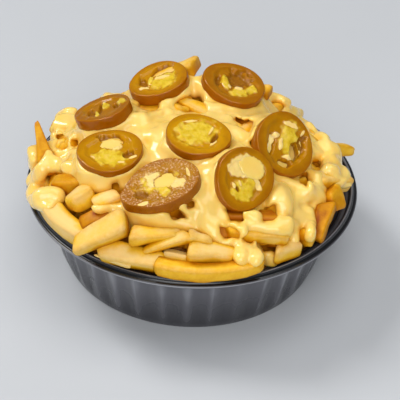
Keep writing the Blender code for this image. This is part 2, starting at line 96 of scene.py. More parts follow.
# Fries that lie in the open: start, end, width, tone (0 pale to 1 deep golden) and whether
# the sauce lies over them
OPEN_FRIES = {
    "rim_left": ((-77, -40, 58), (-51, -68, 54), 10.0, 0.0, False),
    "over_rim": ((-32, -70, 70), (-58, -79, 59), 13.0, 0.22, False),
    "front_pale": ((-47, -74, 54), (-14, -82, 53.5), 10.0, 0.0, False),
    "front_sliver": ((-48, -76.6, 52.2), (-29, -83.4, 51.6), 3.0, -0.35, False),
    "front_long": ((-17, -84.5, 54), (38, -81, 56), 8.0, 0.5, False),
    "front_shelf": ((-30, -76, 65), (-5, -74.6, 66), 9.0, 0.35, False),
    "front_thin": ((-23, -80, 58), (1, -76, 66.5), 6.8, 0.25, False),
    "front_thin_end": ((-1, -76, 66.5), (11, -77, 64), 6.8, 0.25, False),
    "front_broad": ((-1, -80, 61), (23, -79, 57), 10.5, 0.15, False),
    "front_cream": ((-13, -79, 57), (8, -82, 55), 5.0, -0.35, False),
    "left_stub": ((-51, -45.5, 69.2), (-62.5, -53.5, 65), 10.8, 0.1, False),
    "left_wedge": ((-73, -34, 62.5), (-49, -38, 69.5), 10.0, 0.8, False),
    "left_dark": ((-55.5, -61.5, 58.5), (-41.5, -59.5, 66), 9.0, 1.05, False),
    "under_blob": ((-50, -55, 67), (-37, -51.5, 71.5), 8.0, 0.1, False),
    "right_block": ((43.8, -70, 53.4), (55.5, -61.5, 52.5), 10.5, 0.15, False),
    "right_inner": ((59, -57.5, 60.5), (62.5, -59, 51.5), 8.5, 0.45, False),
    "right_upright": ((72, -38, 61), (65, -55, 51), 9.0, 1.05, False),
    "right_cut": ((73, -28, 64), (78, -35, 55), 11.0, 0.6, False),
    "right_square": ((66, -25, 66), (85, -12, 58), 9.5, 0.2, True),
    "right_golden": ((18, -68.5, 65), (49.6, -66.5, 61.6), 8.6, 0.35, False),
    "under_ring": ((13, -60, 66.5), (44, -60, 67), 8.5, 0.9, False),
    "right_tip": ((70, 9, 64), (90, 20, 56.5), 9.4, 0.6, False),
    "left_spike": ((-77, -16, 56), (-87, 7.8, 75), 9.4, 0.95, False),
    "crest_square": ((-24, 36, 84), (0, 46.5, 92.6), 9.5, 0.45, False),
    "crest_right": ((26, 36, 82), (42, 35, 83), 8.0, 0.5, False),
    "crest_low": ((38, 44, 68), (51, 42, 67), 8.0, 0.5, False),
    "left_coated_low": ((-64, 8, 62), (-89, -3, 57), 9.5, 0.2, True),
    "left_coated_high": ((-60, 26, 63), (-81, 29, 57), 9.5, 0.2, True),
}
TAPERS = {"front_thin": (0.5, 1.1), "left_spike": (1.3, 0.26), "right_tip": (1.2, 0.62),
          "over_rim": (0.95, 0.72), "front_broad": (1.1, 0.75), "front_thin_end": (1.0, 0.6),
          "front_shelf": (1.0, 0.6), "front_sliver": (0.35, 1.0)}
# Turn of a fry about its own line, where the photograph shows one face broad
ROLLS = {"over_rim": 28.0, "front_pale": -24.0, "front_thin": -20.0, "front_broad": -18.0}
# Turn of the others, seeded, and how thin the two ends of a fry placed by name are cut
ROLL_SPREAD = (-20, 20)
NAMED_WEDGE = (0.0, 0.12)
# How far the middle of a fry bends away from straight
BENDS = {"front_long": (0, -4.5, -2.4), "front_thin": (0, 0, 1.5), "rim_left": (-2, -2, 0)}

# Fries laid by rule over the whole heap: how many, how far out their middles and their ends
# go, and how many headings each tries
HEAP_FRIES = 150
HEAP_SEED = 11
HEAP_REACH = 84.0
FRY_LIMIT = 83.0
FRY_TRIES = 9
FRY_WIDTH = (7.4, 9.8)
FRY_LENGTH = (24.0, 52.0)
# Their spreads: of the angle, the depth, the rise from end to end and the tone, and the share
# of its sag below the dome that a fry is lifted by
HEAP_SWAY = 0.08
HEAP_DEPTH = (-0.6, 3.6)
HEAP_PITCH = 2.0
HEAP_TONE = (0.1, 0.75)
HEAP_LIFT = (0.2, 0.5)
# Past this distance from the middle they are shorter and run round the heap
OUTER_FROM = 66.0
OUTER_LENGTH = 0.8
OUTER_SPREAD = 0.5
# Those under the fries that lie in the open: how far the heap has to face the camera there,
# as a sine, how much deeper they lie, and how much painted shade darkens them
UNDER_FACING = 0.05
UNDER_DEPTH = 7.5
UNDER_TONE = 0.2
# Those at the back sink by this much behind a line and past a distance
BACK_SINK = 4.0
BACK_SINK_FROM = (12.0, 46.0)
# How far the heap falls short of the dome towards its back corners, and where that comes in:
# to the right, to the left, backwards, outwards and in from the rim
BACK_FALL = 6.5
FALL_RIGHT = (12, 32)
FALL_LEFT = (-20, -38)
FALL_BACK = (4, 24)
FALL_OUT = (40, 58)
FALL_RIM = (84, 72)

# Shape of one fry: rings along it, points round it, the corner's share of the half width, the
# turns of a corner's points, and how far from the middle of a face its other points are
FRY_RINGS = 18
FRY_SIDES = 20
FRY_CORNER = 0.3
FRY_CORNER_TURNS = (5.0, 45.0, 85.0)
FRY_FACE_POINT = 0.35
# Distances of the end rings from the tip, where the even rings start, and how far from the
# tip and how much an end is rounded over
FRY_TIP = (0.0, 0.15, 0.6, 1.8)
FRY_EVEN_FROM = 4.0
FRY_ROUND_LENGTH = 2.4
FRY_ROUND = 0.32
FRY_ROUND_POWER = 2.2
# How much the width wavers and through how many radians, how flat a fry is, how askew and how
# thin its ends are cut, and over what length; how far it bends as a share of its length, and
# how knobbly it is
FRY_WAVER = 0.07
WAVER_TURNS = (4, 9)
FRY_FLAT = (0.78, 1.05)
FRY_SKEW = 0.32
SKEW_LENGTH = 7.0
FRY_WEDGE = (-0.6, 0.55)
WEDGE_LENGTH = 11.0
FRY_BEND = 0.02
FRY_KNOBS = 0.22
# Tone: spread between faces and on knobs, and painted shade that deepens it towards the
# underside; and how far from an end it is crisp
FACE_TONE = 0.10
KNOB_TONE = 0.08
UNDERSIDE_TONE = 0.17
CRISP_LENGTH = 5.0
# How crisp corners and ends are, how that varies between fries, and how it grows with the tone
CRISP_CORNER = 0.8
CRISP_END = 1.3
CRISP_SPREAD = (0.3, 1.3)
CRISP_TONE = (0.4, 0.8)

# Fries that lean on the heap's edge where the sauce stops short of the rim: the arc in degrees
# and, for each row, the distance from the middle, how many, the spread of the headings and
# how far it lies below the dome. Then how far out their ends go, and their spreads
EDGE_ARC = (6.0, 174.0)
EDGE_ROWS = ((82.5, 15, 0.25, 0.0), (79.0, 14, 0.5, 0.0), (75.0, 13, 0.9, 0.0),
             (69.0, 10, 1.2, 0.0), (82.5, 16, 0.15, 4.6))
EDGE_LENGTH = (22.0, 38.0)
EDGE_REACH = 82.5
EDGE_TURN = 0.07
EDGE_DEPTH = (-0.8, 1.6)
EDGE_PITCH = 1.0
EDGE_TONE = (0.1, 0.7)

# Pepper rings, as in the part's source: centre of the top face, tilt, azimuth of the tilt,
# long and short radius, turn of the long axis, thickness, and the hole as (along, across,
# radius along, across)
PEPPERS = {
    "jalapeno_1": ((-50.5, 6, 87.5), 22, 158, 16.6, 15.2, -35, 7.5, None),
    "jalapeno_2": ((-21.5, 32, 91.5), 16, 195, 17.0, 16.0, 20, 7.2, None),
    "jalapeno_3": ((21.5, 31, 91.5), 16, 330, 18.0, 17.0, 0, 7.2, None),
    "jalapeno_4": ((2, -23.5, 93.0), 7, 290, 17.4, 16.2, -20, 7.2, None),
    "jalapeno_5": ((48.5, -19.5, 86.5), 39, 315, 18.8, 17.2, 80, 7.5, (-2.0, -6.0, 6.0, 3.4)),
    "jalapeno_6": ((-15.5, -55.5, 84.5), 17, 215, 19.5, 16.2, 20, 7.5, (1.5, 0.5, 6.0, 5.0)),
    "jalapeno_7": ((27, -50.5, 85.0), 47, 300, 17.2, 15.6, 60, 7.5, (7.0, 0.0, 5.0, 6.5)),
    "jalapeno_8": ((-43.5, -31.5, 86.0), 9, 240, 17.4, 16.2, 0, 6.6, (0.0, 5.0, 5.6, 3.6)),
}
PEPPER_SEGMENTS = 192
PEPPER_FACE_RINGS = 46
PEPPER_FLESH = 5.2
PEPPER_RECESS = 1.0
# Where the recess ends, and where the flesh darkens towards the skin and how much, as shares of
# the way out to the flesh's inner edge
RECESS_EDGE = (0.86, 1.08)
DARK_EDGE = (1.05, 1.4)
DARK_RISE = 0.5
DARK_BASE = -0.35
# Where a mark in a cut face fades, how lumpy it is, how much lumpier the torn face is, and how
# high a face may stand over its own plane
MARK_EDGE = (0.6, 1.25)
MARK_LUMPS = 0.7
TORN_LUMPS = 1.6
FACE_TOP = 0.15
# How much of each ring's side shows above the sauce
PEPPER_SHOWS = {"jalapeno_1": 5.4, "jalapeno_2": 5.0, "jalapeno_3": 4.0, "jalapeno_4": 3.2,
                "jalapeno_5": 2.6, "jalapeno_6": 4.4, "jalapeno_7": 3.4, "jalapeno_8": 2.2}
# How far below the cut face the sauce stands in each hole, and in a closed middle
HOLE_SAUCE = {"jalapeno_5": 6.4, "jalapeno_6": 1.0, "jalapeno_7": -0.4, "jalapeno_8": 1.0}
MIDDLE_SAUCE = 2.0
# How brown the flesh of each ring went in the brine, from 0 to 1
PEPPER_BROWN = {"jalapeno_1": 0.85, "jalapeno_2": 0.35, "jalapeno_3": 0.9, "jalapeno_4": 0.0,
                "jalapeno_5": 0.6, "jalapeno_6": 0.7, "jalapeno_7": 0.55, "jalapeno_8": 0.3}

# What shows in each cut face, placed by the photograph's pixels: kind, centre, half width and
# half height in pixels, and turn. A hollow is recessed and painted dark brown as painted shade;
# some stand for the shadow under an inner wall
FACE_DETAILS = {
    "jalapeno_1": (
        ("hollow", 91, 112, 4.0, 3.6, -20), ("hollow", 100, 107, 1.8, 5.0, 12),
        ("placenta", 105, 105, 4.5, 3.2, -20), ("cream", 104, 102, 2.2, 1.6, 0),
        ("placenta", 96, 113, 3.0, 2.4, 0), ("hollow", 115, 104, 3.0, 2.4, -10),
        ("placenta", 121, 101, 5.0, 2.6, -14),
    ),
    "jalapeno_2": (
        ("placenta", 164, 80, 14.0, 7.0, -22), ("hollow", 162, 69, 12.0, 3.0, -26),
        ("hollow", 143, 81, 4.0, 5.4, -20), ("placenta", 150, 80, 2.4, 5.6, 24),
        ("cream", 143, 88, 6.0, 1.8, -14), ("cream", 162, 77, 8.0, 1.4, -12),
    ),
    "jalapeno_3": (
        ("hollow", 240, 78, 12.5, 7.5, 18), ("hollow", 219, 78, 3.2, 5.4, 0),
        ("placenta", 226, 81, 4.0, 7.5, -16), ("placenta", 239, 92, 9.0, 5.0, 6),
        ("placenta", 252, 89, 6.0, 5.0, -30), ("cream", 239, 88, 4.4, 2.4, 10),
        ("cream", 230, 86, 2.6, 1.6, 30),
    ),
    "jalapeno_4": (
        ("placenta", 196, 132, 22.0, 12.0, -4), ("cream", 191, 121, 8.0, 1.0, -6),
        ("hollow", 215, 137, 2.6, 5.0, 34), ("cream", 214, 142, 5.6, 1.4, -36),
        ("cream", 211, 131, 1.2, 6.0, 30),
    ),
    "jalapeno_5": (
        ("placenta", 290, 139, 9.5, 18.0, 4), ("hollow", 301, 146, 4.2, 11.0, 12),
        ("hollow", 286, 163, 7.0, 4.0, 20), ("hollow", 272, 142, 3.4, 11.0, 8),
        ("cream", 291, 125, 7.5, 2.6, 28), ("cream", 277, 134, 4.2, 3.0, 0),
        ("cream", 281, 144, 2.0, 6.0, 6), ("cream", 288, 157, 6.0, 2.6, 16),
        ("cream", 303, 133, 1.4, 3.0, 30), ("cream", 301, 151, 1.4, 2.6, 20),
    ),
    "jalapeno_6": (
        ("placenta", 158, 182, 21.0, 10.0, -16), ("hollow", 141, 194, 7.0, 4.0, -10),
        ("cream", 154, 179, 9.0, 9.0, 24), ("cream", 177, 182, 8.5, 5.4, -6),
        ("hollow", 167, 174, 6.0, 5.0, 0), ("placenta", 164, 190, 6.0, 5.0, 0),
        ("cream", 143, 204, 6.0, 1.8, -16), ("cream", 188, 172, 1.8, 5.0, -24),
    ),
    "jalapeno_7": (
        ("cream", 243, 167, 15.5, 12.5, 6), ("cream", 258, 184, 3.6, 10.0, -14),
        ("placenta", 244, 190, 12.5, 12.0, 20), ("cream", 234, 185, 1.8, 4.4, -24),
        ("cream", 240, 183, 1.2, 3.4, -20), ("hollow", 238, 189, 1.8, 3.4, -20),
    ),
    "jalapeno_8": (
        ("placenta", 111, 157, 17.0, 9.0, 4), ("hollow", 112, 138, 14.0, 3.4, 4),
        ("cream", 112, 145, 11.0, 4.4, 8), ("hollow", 129, 153, 6.4, 4.0, -16),
        ("cream", 133, 157, 4.4, 1.8, -18), ("cream", 121, 162, 4.0, 1.2, 0),
    ),
}
# Height of each tissue over the recessed middle
RELIEF = {"hollow": -2.0, "placenta": 0.9, "cream": 0.8}
TISSUES = ("hollow", "placenta", "cream", "outer", "skin")
# How far the three soft lobes of an outline go, as a share, and the ring that the blade tore
# and drew out to a point at one end: how far, and how wide the point is in radians
RING_LOBES = 0.025
TORN = "jalapeno_6"
POINT_REACH = 0.16
POINT_WIDTH = 0.42
# Side of a ring, from the cut face down: how far in, depth below the face and share of skin.
# The same from the underside up, where the rows between are, as shares of the thickness, and
# how dark the flesh is there
SIDE_ABOVE = ((0.45, 0.08, 0.1), (0.2, 0.28, 0.9), (0.05, 0.8, 1.0))
SIDE_BELOW = ((0.12, 1.0, 1.0), (0.4, 0.3, 0.9), (0.9, 0.05, 0.1))
SIDE_MIDDLE = (0.35, 0.6)
SIDE_DARK = 0.6
FACE_INSET = 0.75
UNDERSIDE_INSET = 1.4
UNDERSIDE_RINGS = 16
UNDERSIDE_RELIEF = -0.7
# Wall of a hole: how far from the two faces its rows start and end, how it is waisted, and its
# share of the hollows' dark colour, painted shade inside the hole
HOLE_ENDS = (1.6, 1.8)
HOLE_ROWS = 5
HOLE_WAIST = 0.1
HOLE_HOLLOW = 0.3
# Its ragged edge: height, number and turn of each set of lobes. The middle of a closed ring has
# a hole too small to see, where its rows of points start
HOLE_LOBES = ((0.05, 5, 1), (0.03, 13, 0))
NO_HOLE = (0.0, 0.0, 0.02, 0.02)

# Sauce
SAUCE_STEP = 0.98
SAUCE_LOW = (-97.0, -96.0, 40.0)
SAUCE_HIGH = (97.0, 92.0, 100.5)
SAUCE_THICK = 1.5
SAUCE_BLEND = 1.7
SAUCE_LIP = 2.2
# How thin the film gets towards a gap, as a share, and over what distance, and how round the
# gap's edge and its meeting with the outline are
THIN_SHARE = 0.45
THIN_REACH = 5.0
GAP_LIP = 3.5
GAP_ROUND = 2.0
SAUCE_DEPTH = 4.2
# How far over the dome the film may rise, how much lower that is at the back and where that
# comes in, below what height it never ends, and how round its top is
FILM_TOP = 1.6
BACK_DROP = 3.5
DROP_BACK = (8, 30)
DROP_OUT = (44, 60)
COATED_TOP = 66.0
FILM_TOP_ROUND = 3.0
# Bed under a ring: how far it looks round it, how it flares downwards in front and behind, how
# far down it goes, and how its top is rounded into the coat
RING_REACH = 22.0
BED_FLARE = 0.2
BACK_FLARE = 1.1
FLARE_DEPTH = 14
LOWEST_BED = 31.0
BED_LIP = 0.6
BED_DROP = 0.4
BED_BLEND = 2.6
BED_ROUND = 2.0
# Mound that the bed makes behind a ring: height over the dome, fall per millimetre aside, where
# it comes in, how much higher it may be in front, its share of the heap's own fall at the back,
# and how round it is
MOUND_RISE = 8.0
MOUND_FALL = 0.95
MOUND_BEHIND = (-6, 8)
MOUND_FRONT = 30
MOUND_BACK = 0.6
MOUND_ROUND = 3.0
# Clearing of a ring: its margin, how round its edge is and how softly it ends, how far in the
# flesh counts, as a share, and how far the sauce in a hole goes past its edge
CLEAR_MARGIN = 0.2
CLEAR_ROUND = 1.0
CLEAR_BLEND = 0.8
FLESH_FROM = 0.62
HOLE_MARGIN = 1.5
# Strands: how softly they join the coat, and how far they sink into what is below, as a share
STRAND_BLEND = 2.6
STRAND_SINK = 0.12
# Where along a pixel's ray a strand looks for the heap: from the camera's distance less this,
# to that and this more, by this step
RAY_SPAN = (110, 120, 0.5)
PIXELS_PER_MM = 1.78
# Where the edge traced from the photograph gives way to the lobed one, as the sine of the angle
# at which the heap faces the camera
TRACED_FROM = (-0.10, 0.12)
# Lobed edge, as in the part's source: mean distance, then height, number and turn of each set
# of lobes, and how much further out the coat goes than the part's
LOBED_EDGE = 68.5
LOBES = ((7.5, 2, 0.0), (2.2, 7, 0.6), (1.4, 12, 0.0))
LOBED_MORE = 3.0
# Over the flange and the bead the sauce may go further out: by how much, and from and to what
# height that comes in
RIM_ROOM = ((3.6, 44.0, 45.4), (20.0, 45.2, 46.2))
# How far out from a point the room round it is looked at for the painted shade in crevices, and
# what share of it is all there is in the open
CREVICE_REACH = (2.2, 5.0)
OPEN_ROOM = 0.8
# A value outside every surface, and how near the film follows the heap
FAR = 9.0
FILM_REACH = 11
# A loose drop of fewer vertices than this is left out
LEAST_DROP = 400

# Unevenness of each surface: height, wave length and seed
UNEVEN = {
    "core": (0.7, 9.0, 3), "fry": (1.0, 8.0, 0), "sway": (0.55, 10.0, 21),
    "film_broad": (0.7, 16.0, 5), "film_fine": (0.5, 7.0, 6), "edge": (1.3, 7.0, 31),
    "under_ring": (1.0, 14.0, 0), "bed": (1.4, 12.0, 50), "mound": (0.9, 11.0, 51),
    "face": (0.12, 5.0, 0), "lumps": (0.12, 2.8, 30), "torn_border": (0.16, 4.5, 7),
}
# How many sine waves make up each, and how their lengths spread
WAVE_COUNT = 6
WAVE_SPREAD = (0.8, 1.6)
# Turn from each point of a sunflower spiral to the next
GOLDEN_TURN = math.pi * (3 - math.sqrt(5))

# Edge of the sauce where the photograph shows it, as pixels; it passes outside the heap along
# the silhouette
SAUCE_OUTLINE = (
    (14, 178), (14, 216), (32, 211), (46, 209), (50, 201), (60, 196), (62, 190), (50, 187),
    (48, 171), (58, 170), (70, 172), (80, 175), (90, 178), (92, 188), (98, 193), (92, 199),
    (100, 207), (112, 212), (126, 218), (142, 220), (160, 227), (180, 233), (192, 229),
    (205, 234), (213, 241), (222, 247), (236, 250), (235, 262), (241, 269), (262, 269),
    (263, 248), (260, 238), (264, 233), (287, 234), (288, 243), (295, 246), (300, 239),
    (304, 231), (309, 230),
    (313, 215), (319, 206), (324, 190), (330, 186), (336, 190), (353, 187), (350, 172),
    (341, 158), (334, 148), (326, 136), (317, 126), (308, 112), (290, 92), (250, 60),
    (200, 40), (120, 50), (60, 90), (30, 112), (14, 135),
)
# Gaps in the sauce, as outlines in pixels
SAUCE_GAPS = (
    ((59, 136), (63, 136), (65, 141), (66, 147), (63, 148), (60, 144)),
    ((72, 141), (78, 141), (78, 145), (73, 145)),
    ((112, 184), (118, 182), (119, 188), (113, 191)),
    ((92, 196), (105, 195), (114, 190), (123, 190), (120, 198), (108, 204), (95, 204)),
    ((142, 103), (158, 104), (158, 109), (149, 111), (142, 108)),
    ((176, 106), (186, 97), (199, 97), (205, 105), (204, 112), (192, 110), (178, 109)),
    ((236, 119), (254, 121), (253, 128), (248, 134), (243, 130)),
    ((250, 141), (262, 139), (261, 146), (252, 147)),
    ((300, 174), (308, 174), (308, 187), (301, 184)),
    ((314, 163), (319, 164), (318, 169), (314, 168)),
    ((326, 181), (333, 182), (331, 186), (326, 184)),
    ((167, 211), (178, 208), (187, 218), (172, 219)),
    ((186, 203), (195, 201), (195, 207), (188, 208)),
    ((220, 227), (229, 228), (239, 233), (238, 237), (224, 238), (221, 234)),
    ((226, 210), (240, 213), (243, 219), (240, 222), (230, 220)),
    ((243, 238), (255, 238), (251, 244), (246, 243)),
    ((260, 241), (275, 243), (276, 250), (264, 250)),
    ((266, 209), (275, 206), (277, 214), (273, 221), (263, 221)),
)
# Strands of sauce laid over whatever is below them: pixels of the middle line with the
# radius in millimetres at each
STRANDS = {
    "left_lump": ((36, 200, 2.8), (42, 197, 3.6), (50, 197, 3.8), (59, 197, 3.0)),
    "left_sag": ((39, 180, 3.0), (36, 187, 3.6), (35, 196, 3.4), (40, 204, 2.8), (50, 206, 2.4)),
    "spike_run": ((48, 152, 1.6), (46, 164, 2.2), (40, 174, 2.8), (33, 182, 3.4)),
    "left_rope": ((47, 160, 2.4), (57, 166, 2.8), (68, 168, 2.8), (80, 172, 2.8), (92, 177, 3.2)),
    "left_blob": ((95, 178, 5.4), (102, 183, 6.0), (103, 188, 5.0)),
    "under_rope": ((96, 206, 1.8), (107, 208, 2.4), (121, 211, 2.6), (138, 214, 3.0),
                   (160, 220, 3.2), (178, 225, 3.4), (192, 225, 3.6)),
    "front_fold": ((206, 202, 6.0), (205, 214, 6.6), (211, 226, 6.4), (221, 237, 5.4),
                   (234, 243, 4.2), (247, 247, 4.2)),
    "thin_fold": ((222, 212, 3.2), (232, 221, 2.8), (240, 228, 2.6), (243, 236, 2.2)),
    "front_drip": ((251, 242, 2.6), (245, 248, 3.0), (241, 254, 2.8), (243, 260, 2.0)),
    "drip_shoulder": ((240, 246, 2.2), (249, 250, 3.0), (256, 255, 2.8), (255, 262, 1.9)),
    "front_column": ((266, 250, 2.0), (270, 257, 2.8), (272, 265, 2.4)),
    "middle_lump": ((187, 158, 3.2), (197, 156, 5.2), (207, 161, 5.2), (212, 170, 3.6)),
    "crest_fold": ((160, 110, 2.2), (172, 101, 3.0), (186, 94, 3.2), (199, 86, 2.6)),
    "crest_band": ((196, 104, 2.2), (208, 110, 3.0), (226, 112, 3.2), (244, 108, 2.8),
                   (257, 103, 2.0)),
    "upper_fold": ((114, 119, 2.4), (128, 122, 3.6), (145, 121, 3.8), (160, 114, 2.6)),
    "lower_fold": ((128, 134, 2.2), (141, 139, 3.4), (156, 137, 3.6), (168, 128, 2.4)),
    "side_fold": ((220, 129, 2.4), (234, 134, 3.4), (250, 133, 3.0), (258, 128, 2.0)),
    "under_ring_fold": ((244, 212, 1.8), (249, 217, 2.6), (257, 220, 2.8), (268, 225, 2.4)),
    "bridge": ((236, 225, 2.0), (250, 226, 2.6), (266, 228, 2.6), (282, 230, 2.4)),
    "right_band": ((270, 216, 2.8), (281, 225, 4.0), (296, 228, 4.2), (306, 219, 3.4)),
    "band_drop": ((291, 231, 3.6), (293, 240, 2.8)),
    "left_lobe": ((281, 193, 5.2), (279, 205, 6.2), (279, 216, 4.8)),
    "right_lobe": ((303, 189, 5.4), (313, 197, 5.6), (314, 207, 4.2)),
    "right_drip": ((308, 212, 2.4), (311, 222, 1.7), (311, 232, 1.5), (310, 240, 1.2)),
    "far_bulges": ((326, 150, 4.8), (330, 158, 5.4), (330, 172, 5.2)),
    "small_bulge": ((313, 178, 4.2), (319, 188, 3.6)),
}
# Strands on the far side, in millimetres
FAR_STRANDS = {
    "back_run": ((10, 62, 70, 3.2), (14, 72, 62, 3.6), (12, 79, 55, 3.4)),
    "back_left_run": ((-44, 48, 66, 3.0), (-51, 57, 60, 3.2), (-54, 63, 54.5, 2.8)),
    "back_right_run": ((50, 42, 65.5, 2.8), (57, 51, 59.5, 3.2), (61, 57, 54, 2.8)),
    "back_thin_run": ((-16, 61, 71, 2.2), (-19, 69, 65, 2.4), (-18, 76, 59, 2.8)),
    "back_short_run": ((32, 55, 65, 2.6), (36, 64, 60, 3.0)),
    "back_corner_run": ((-70, 36, 64, 2.4), (-76, 40, 58, 2.8), (-77, 42, 54, 2.6)),
}

# Ribbons that the pouring left all over the coat: their radius, how many points they have and
# how far apart, and how far out they start and end
RIBBONS = 110
RIBBON_SEED = 5
RIBBON_RADIUS = (1.7, 3.0)
RIBBON_STEPS = (5, 13)
RIBBON_STEP = 3.2
RIBBON_REACH = 76.0
RIBBON_LIMIT = 79
# Fewest points that a ribbon keeps, and how far inside the sauce's edge it has to be
RIBBON_LEAST = 4
RIBBON_INSIDE = 0.5
# How far round from its place on the spiral a ribbon starts, and how it turns at each step: its
# own rate and its wavering, in radians
RIBBON_SWAY = 0.2
RIBBON_BEND = 0.22
RIBBON_WAVER = 0.16
# Heights over the dome at which a ribbon looks for the first thing below it, and how near it
# comes to it
RIBBON_FALLS = (3.0, -12.0, -0.4)
RIBBON_NEAR = 1.4
# Weights that even out the falls, how much further than its own fall a point may go, and the
# angle at which the half wave that rounds off a ribbon's ends starts
RIBBON_EVEN = (0.3, 0.4, 0.3)
RIBBON_SINK = 0.6
RIBBON_TIP = 0.35
# How far a ribbon stays from the strands placed by name, in pixels, as far back as they go, and
# how far from a ring
STRAND_CLEAR = 9.0
STRAND_FRONT = 30
RING_CLEAR = 12

# Look of each material: sRGB hex colours
COLOURS = {
    # The bowl's grey and light grey are painted sheen and painted highlight lines on black
    # plastic
    "plastic": "#0E0F12", "plastic_painted_sheen": "#5D5D63", "plastic_painted_highlight": "#A9ABB1",
    "fry_pale": "#F0CC7E", "fry_golden": "#EEBB2A", "fry_deep": "#CE8C00",
    # The fries' gap colour is painted shade in crevices
    "fry_crisp": "#C88000", "fry_painted_gap_shade": "#964600",
    # The sauce's fold colour is painted shade in its folds and crevices
    "sauce": "#FBDB88", "sauce_deep": "#F7C84E", "sauce_fold": "#E9AC14",
    "skin": "#8E4A00", "skin_light": "#A86400", "flesh": "#C28A00", "flesh_dark": "#A26400",
    "placenta": "#DEBC30", "placenta_deep": "#CCA214", "placenta_pale": "#E8C85A",
    # The hollows' dark browns are painted shade in recesses, and the glint colour is painted
    # glints
    "hollow": "#7A3C00", "hollow_light": "#B07A18", "cream": "#F3D282", "glint": "#F0CDA0",
    "floor": "#C4C7CB",
}
# Surround, the point that the softboxes face, and their place in metres, size, power and colour
SURROUND = (0.95, 0.97, 1.0, 1.0)
SURROUND_STRENGTH = 0.16
LIGHT_TARGET = (0, 0, 0.05)
SOFTBOXES = {
    "key": ((-1.9, 0.9, 2.5), 1.1, 54.0, (1.0, 0.99, 0.98)),
    "overhead": ((0.3, 0.0, 2.6), 2.0, 25.0, (1.0, 1.0, 1.0)),
    "front_fill": ((-0.1, -2.5, 1.7), 2.2, 60.0, (1.0, 1.0, 1.0)),
}
# Board under the bowl: half its width, and lines each way
FLOOR_HALF = 2500.0
FLOOR_LINES = 41
# Grain of each pattern in millimetres. The mould's texture, the potato's blisters and the
# pepper's fibres are finer in life, and are drawn as coarse as they need to be to show
GRAIN = {
    "mould_cloud": 11.0, "mould_texture": 0.7, "potato_mottle": 4.8, "crisp_spots": 2.4,
    "blister": 1.4, "sauce_cloud": 14.0, "sauce_film": 4.2, "flesh_cloud": 4.5, "seed": 3.3,
    "fibre": 1.05, "board_cloud": 110.0,
}


# ---------------------------------------------------------------- small tools

def unit(vector):
    """A vector over its own length."""
    vector = np.asarray(vector, dtype=float)
    return vector / np.linalg.norm(vector, axis=-1, keepdims=True)


def step_between(low, high, value):
    """0 below low, 1 above high and a smooth S curve between."""
    share = np.clip((value - low) / (high - low), 0, 1)
    return share * share * (3 - 2 * share)


def blend_min(first, second, reach):
    """The smaller of two distances, with a fillet of that reach where they are near."""
    near = np.clip(reach - np.abs(first - second), 0, None) / reach
    return np.minimum(first, second) - near * near * reach / 4


def blend_max(first, second, reach):
    """The larger of two distances, with a fillet of that reach where they are near."""
    return -blend_min(-first, -second, reach)


def waves(x, y, z, scale, seed):
    """Soft unevenness about -1 to 1: a sum of sine waves in seeded directions, whose length is
    about the scale."""
    draw = np.random.default_rng(seed)
    total = 0.0
    for _ in range(WAVE_COUNT):
        way = unit(draw.normal(size=3)) * 2 * math.pi / (scale * draw.uniform(*WAVE_SPREAD))
        total = total + np.sin(way[0] * x + way[1] * y + way[2] * z + draw.uniform(0, 6.28))
    return total / (WAVE_COUNT / 2)


def uneven(name, x, y, z, more=0):
    """A named unevenness: its height times waves of its length. A number added to its seed
    gives another of the same kind."""
    height, length, seed = UNEVEN[name]
    return height * waves(x, y, z, length, seed + more)


def turn_angles(count):
    """Even angles round a full turn."""
    return np.arange(count) * 2 * math.pi / count


def spiral_place(index, count, reach):
    """Distance and angle of a point on a sunflower spiral: the distance goes as the root of
    the number, and each point is a golden angle on from the last."""
    return reach * math.sqrt((index + 0.5) / count), index * GOLDEN_TURN


def lobed(mean, lobes, angle):
    """A mean with a cosine on it for each set of lobes, of a height, a number and a turn."""
    return sum((height * np.cos(count * angle + turn) for height, count, turn in lobes), mean)


def offset_from(centre, x, y, z):
    """Offsets of grid points from a centre."""
    return np.stack([x - centre[0], y - centre[1], z - centre[2]], axis=-1)


# ---------------------------------------------------------------- camera

def camera_axes():
    """Place of the camera and its right, up and forward directions."""
    lean = math.radians(CAMERA_ELEVATION)
    place = np.array(CAMERA_TARGET) + CAMERA_DISTANCE * np.array([0, -math.cos(lean),
                                                                  math.sin(lean)])
    forward = unit(np.array(CAMERA_AIM) - place)
    level = unit(np.cross(forward, (0, 0, 1)))
    upright = np.cross(level, forward)
    roll = math.radians(CAMERA_ROLL)
    right = math.cos(roll) * level + math.sin(roll) * upright
    return place, right, np.cross(right, forward), forward


EYE, RIGHT, UP, FORWARD = camera_axes()


def to_pixels(points):
    """Pixel coordinates of points: their offsets across the view over their depth."""
    offset = np.asarray(points) - EYE
    depth = offset @ FORWARD
    return (PICTURE / 2 + FOCAL_PIXELS * (offset @ RIGHT) / depth,
            PICTURE / 2 - FOCAL_PIXELS * (offset @ UP) / depth)


def pixel_rays(pixels):
    """Directions from the camera through pixels."""
    pixels = np.asarray(pixels, dtype=float)
    across = (pixels[:, :1] - PICTURE / 2) / FOCAL_PIXELS
    down = (pixels[:, 1:2] - PICTURE / 2) / FOCAL_PIXELS
    return unit(FORWARD + across * RIGHT - down * UP)


def make_camera():
    """The camera that the photograph was taken with, its axes as the columns of a turn."""
    data = bpy.data.cameras.new("camera")
    data.sensor_width = SENSOR
    data.lens = FOCAL_PIXELS * SENSOR / PICTURE
    camera = bpy.data.objects.new("camera", data)
    camera.matrix_world = axes_matrix(RIGHT, UP, -FORWARD, EYE * MM)
    bpy.context.scene.collection.objects.link(camera)
    bpy.context.scene.camera = camera


def axes_matrix(right, up, back, place):
    """Matrix that turns an object to three directions and moves it to a place."""
    turn = Matrix((right, up, back)).transposed().to_4x4()
    turn.translation = place
    return turn


# ---------------------------------------------------------------- meshes

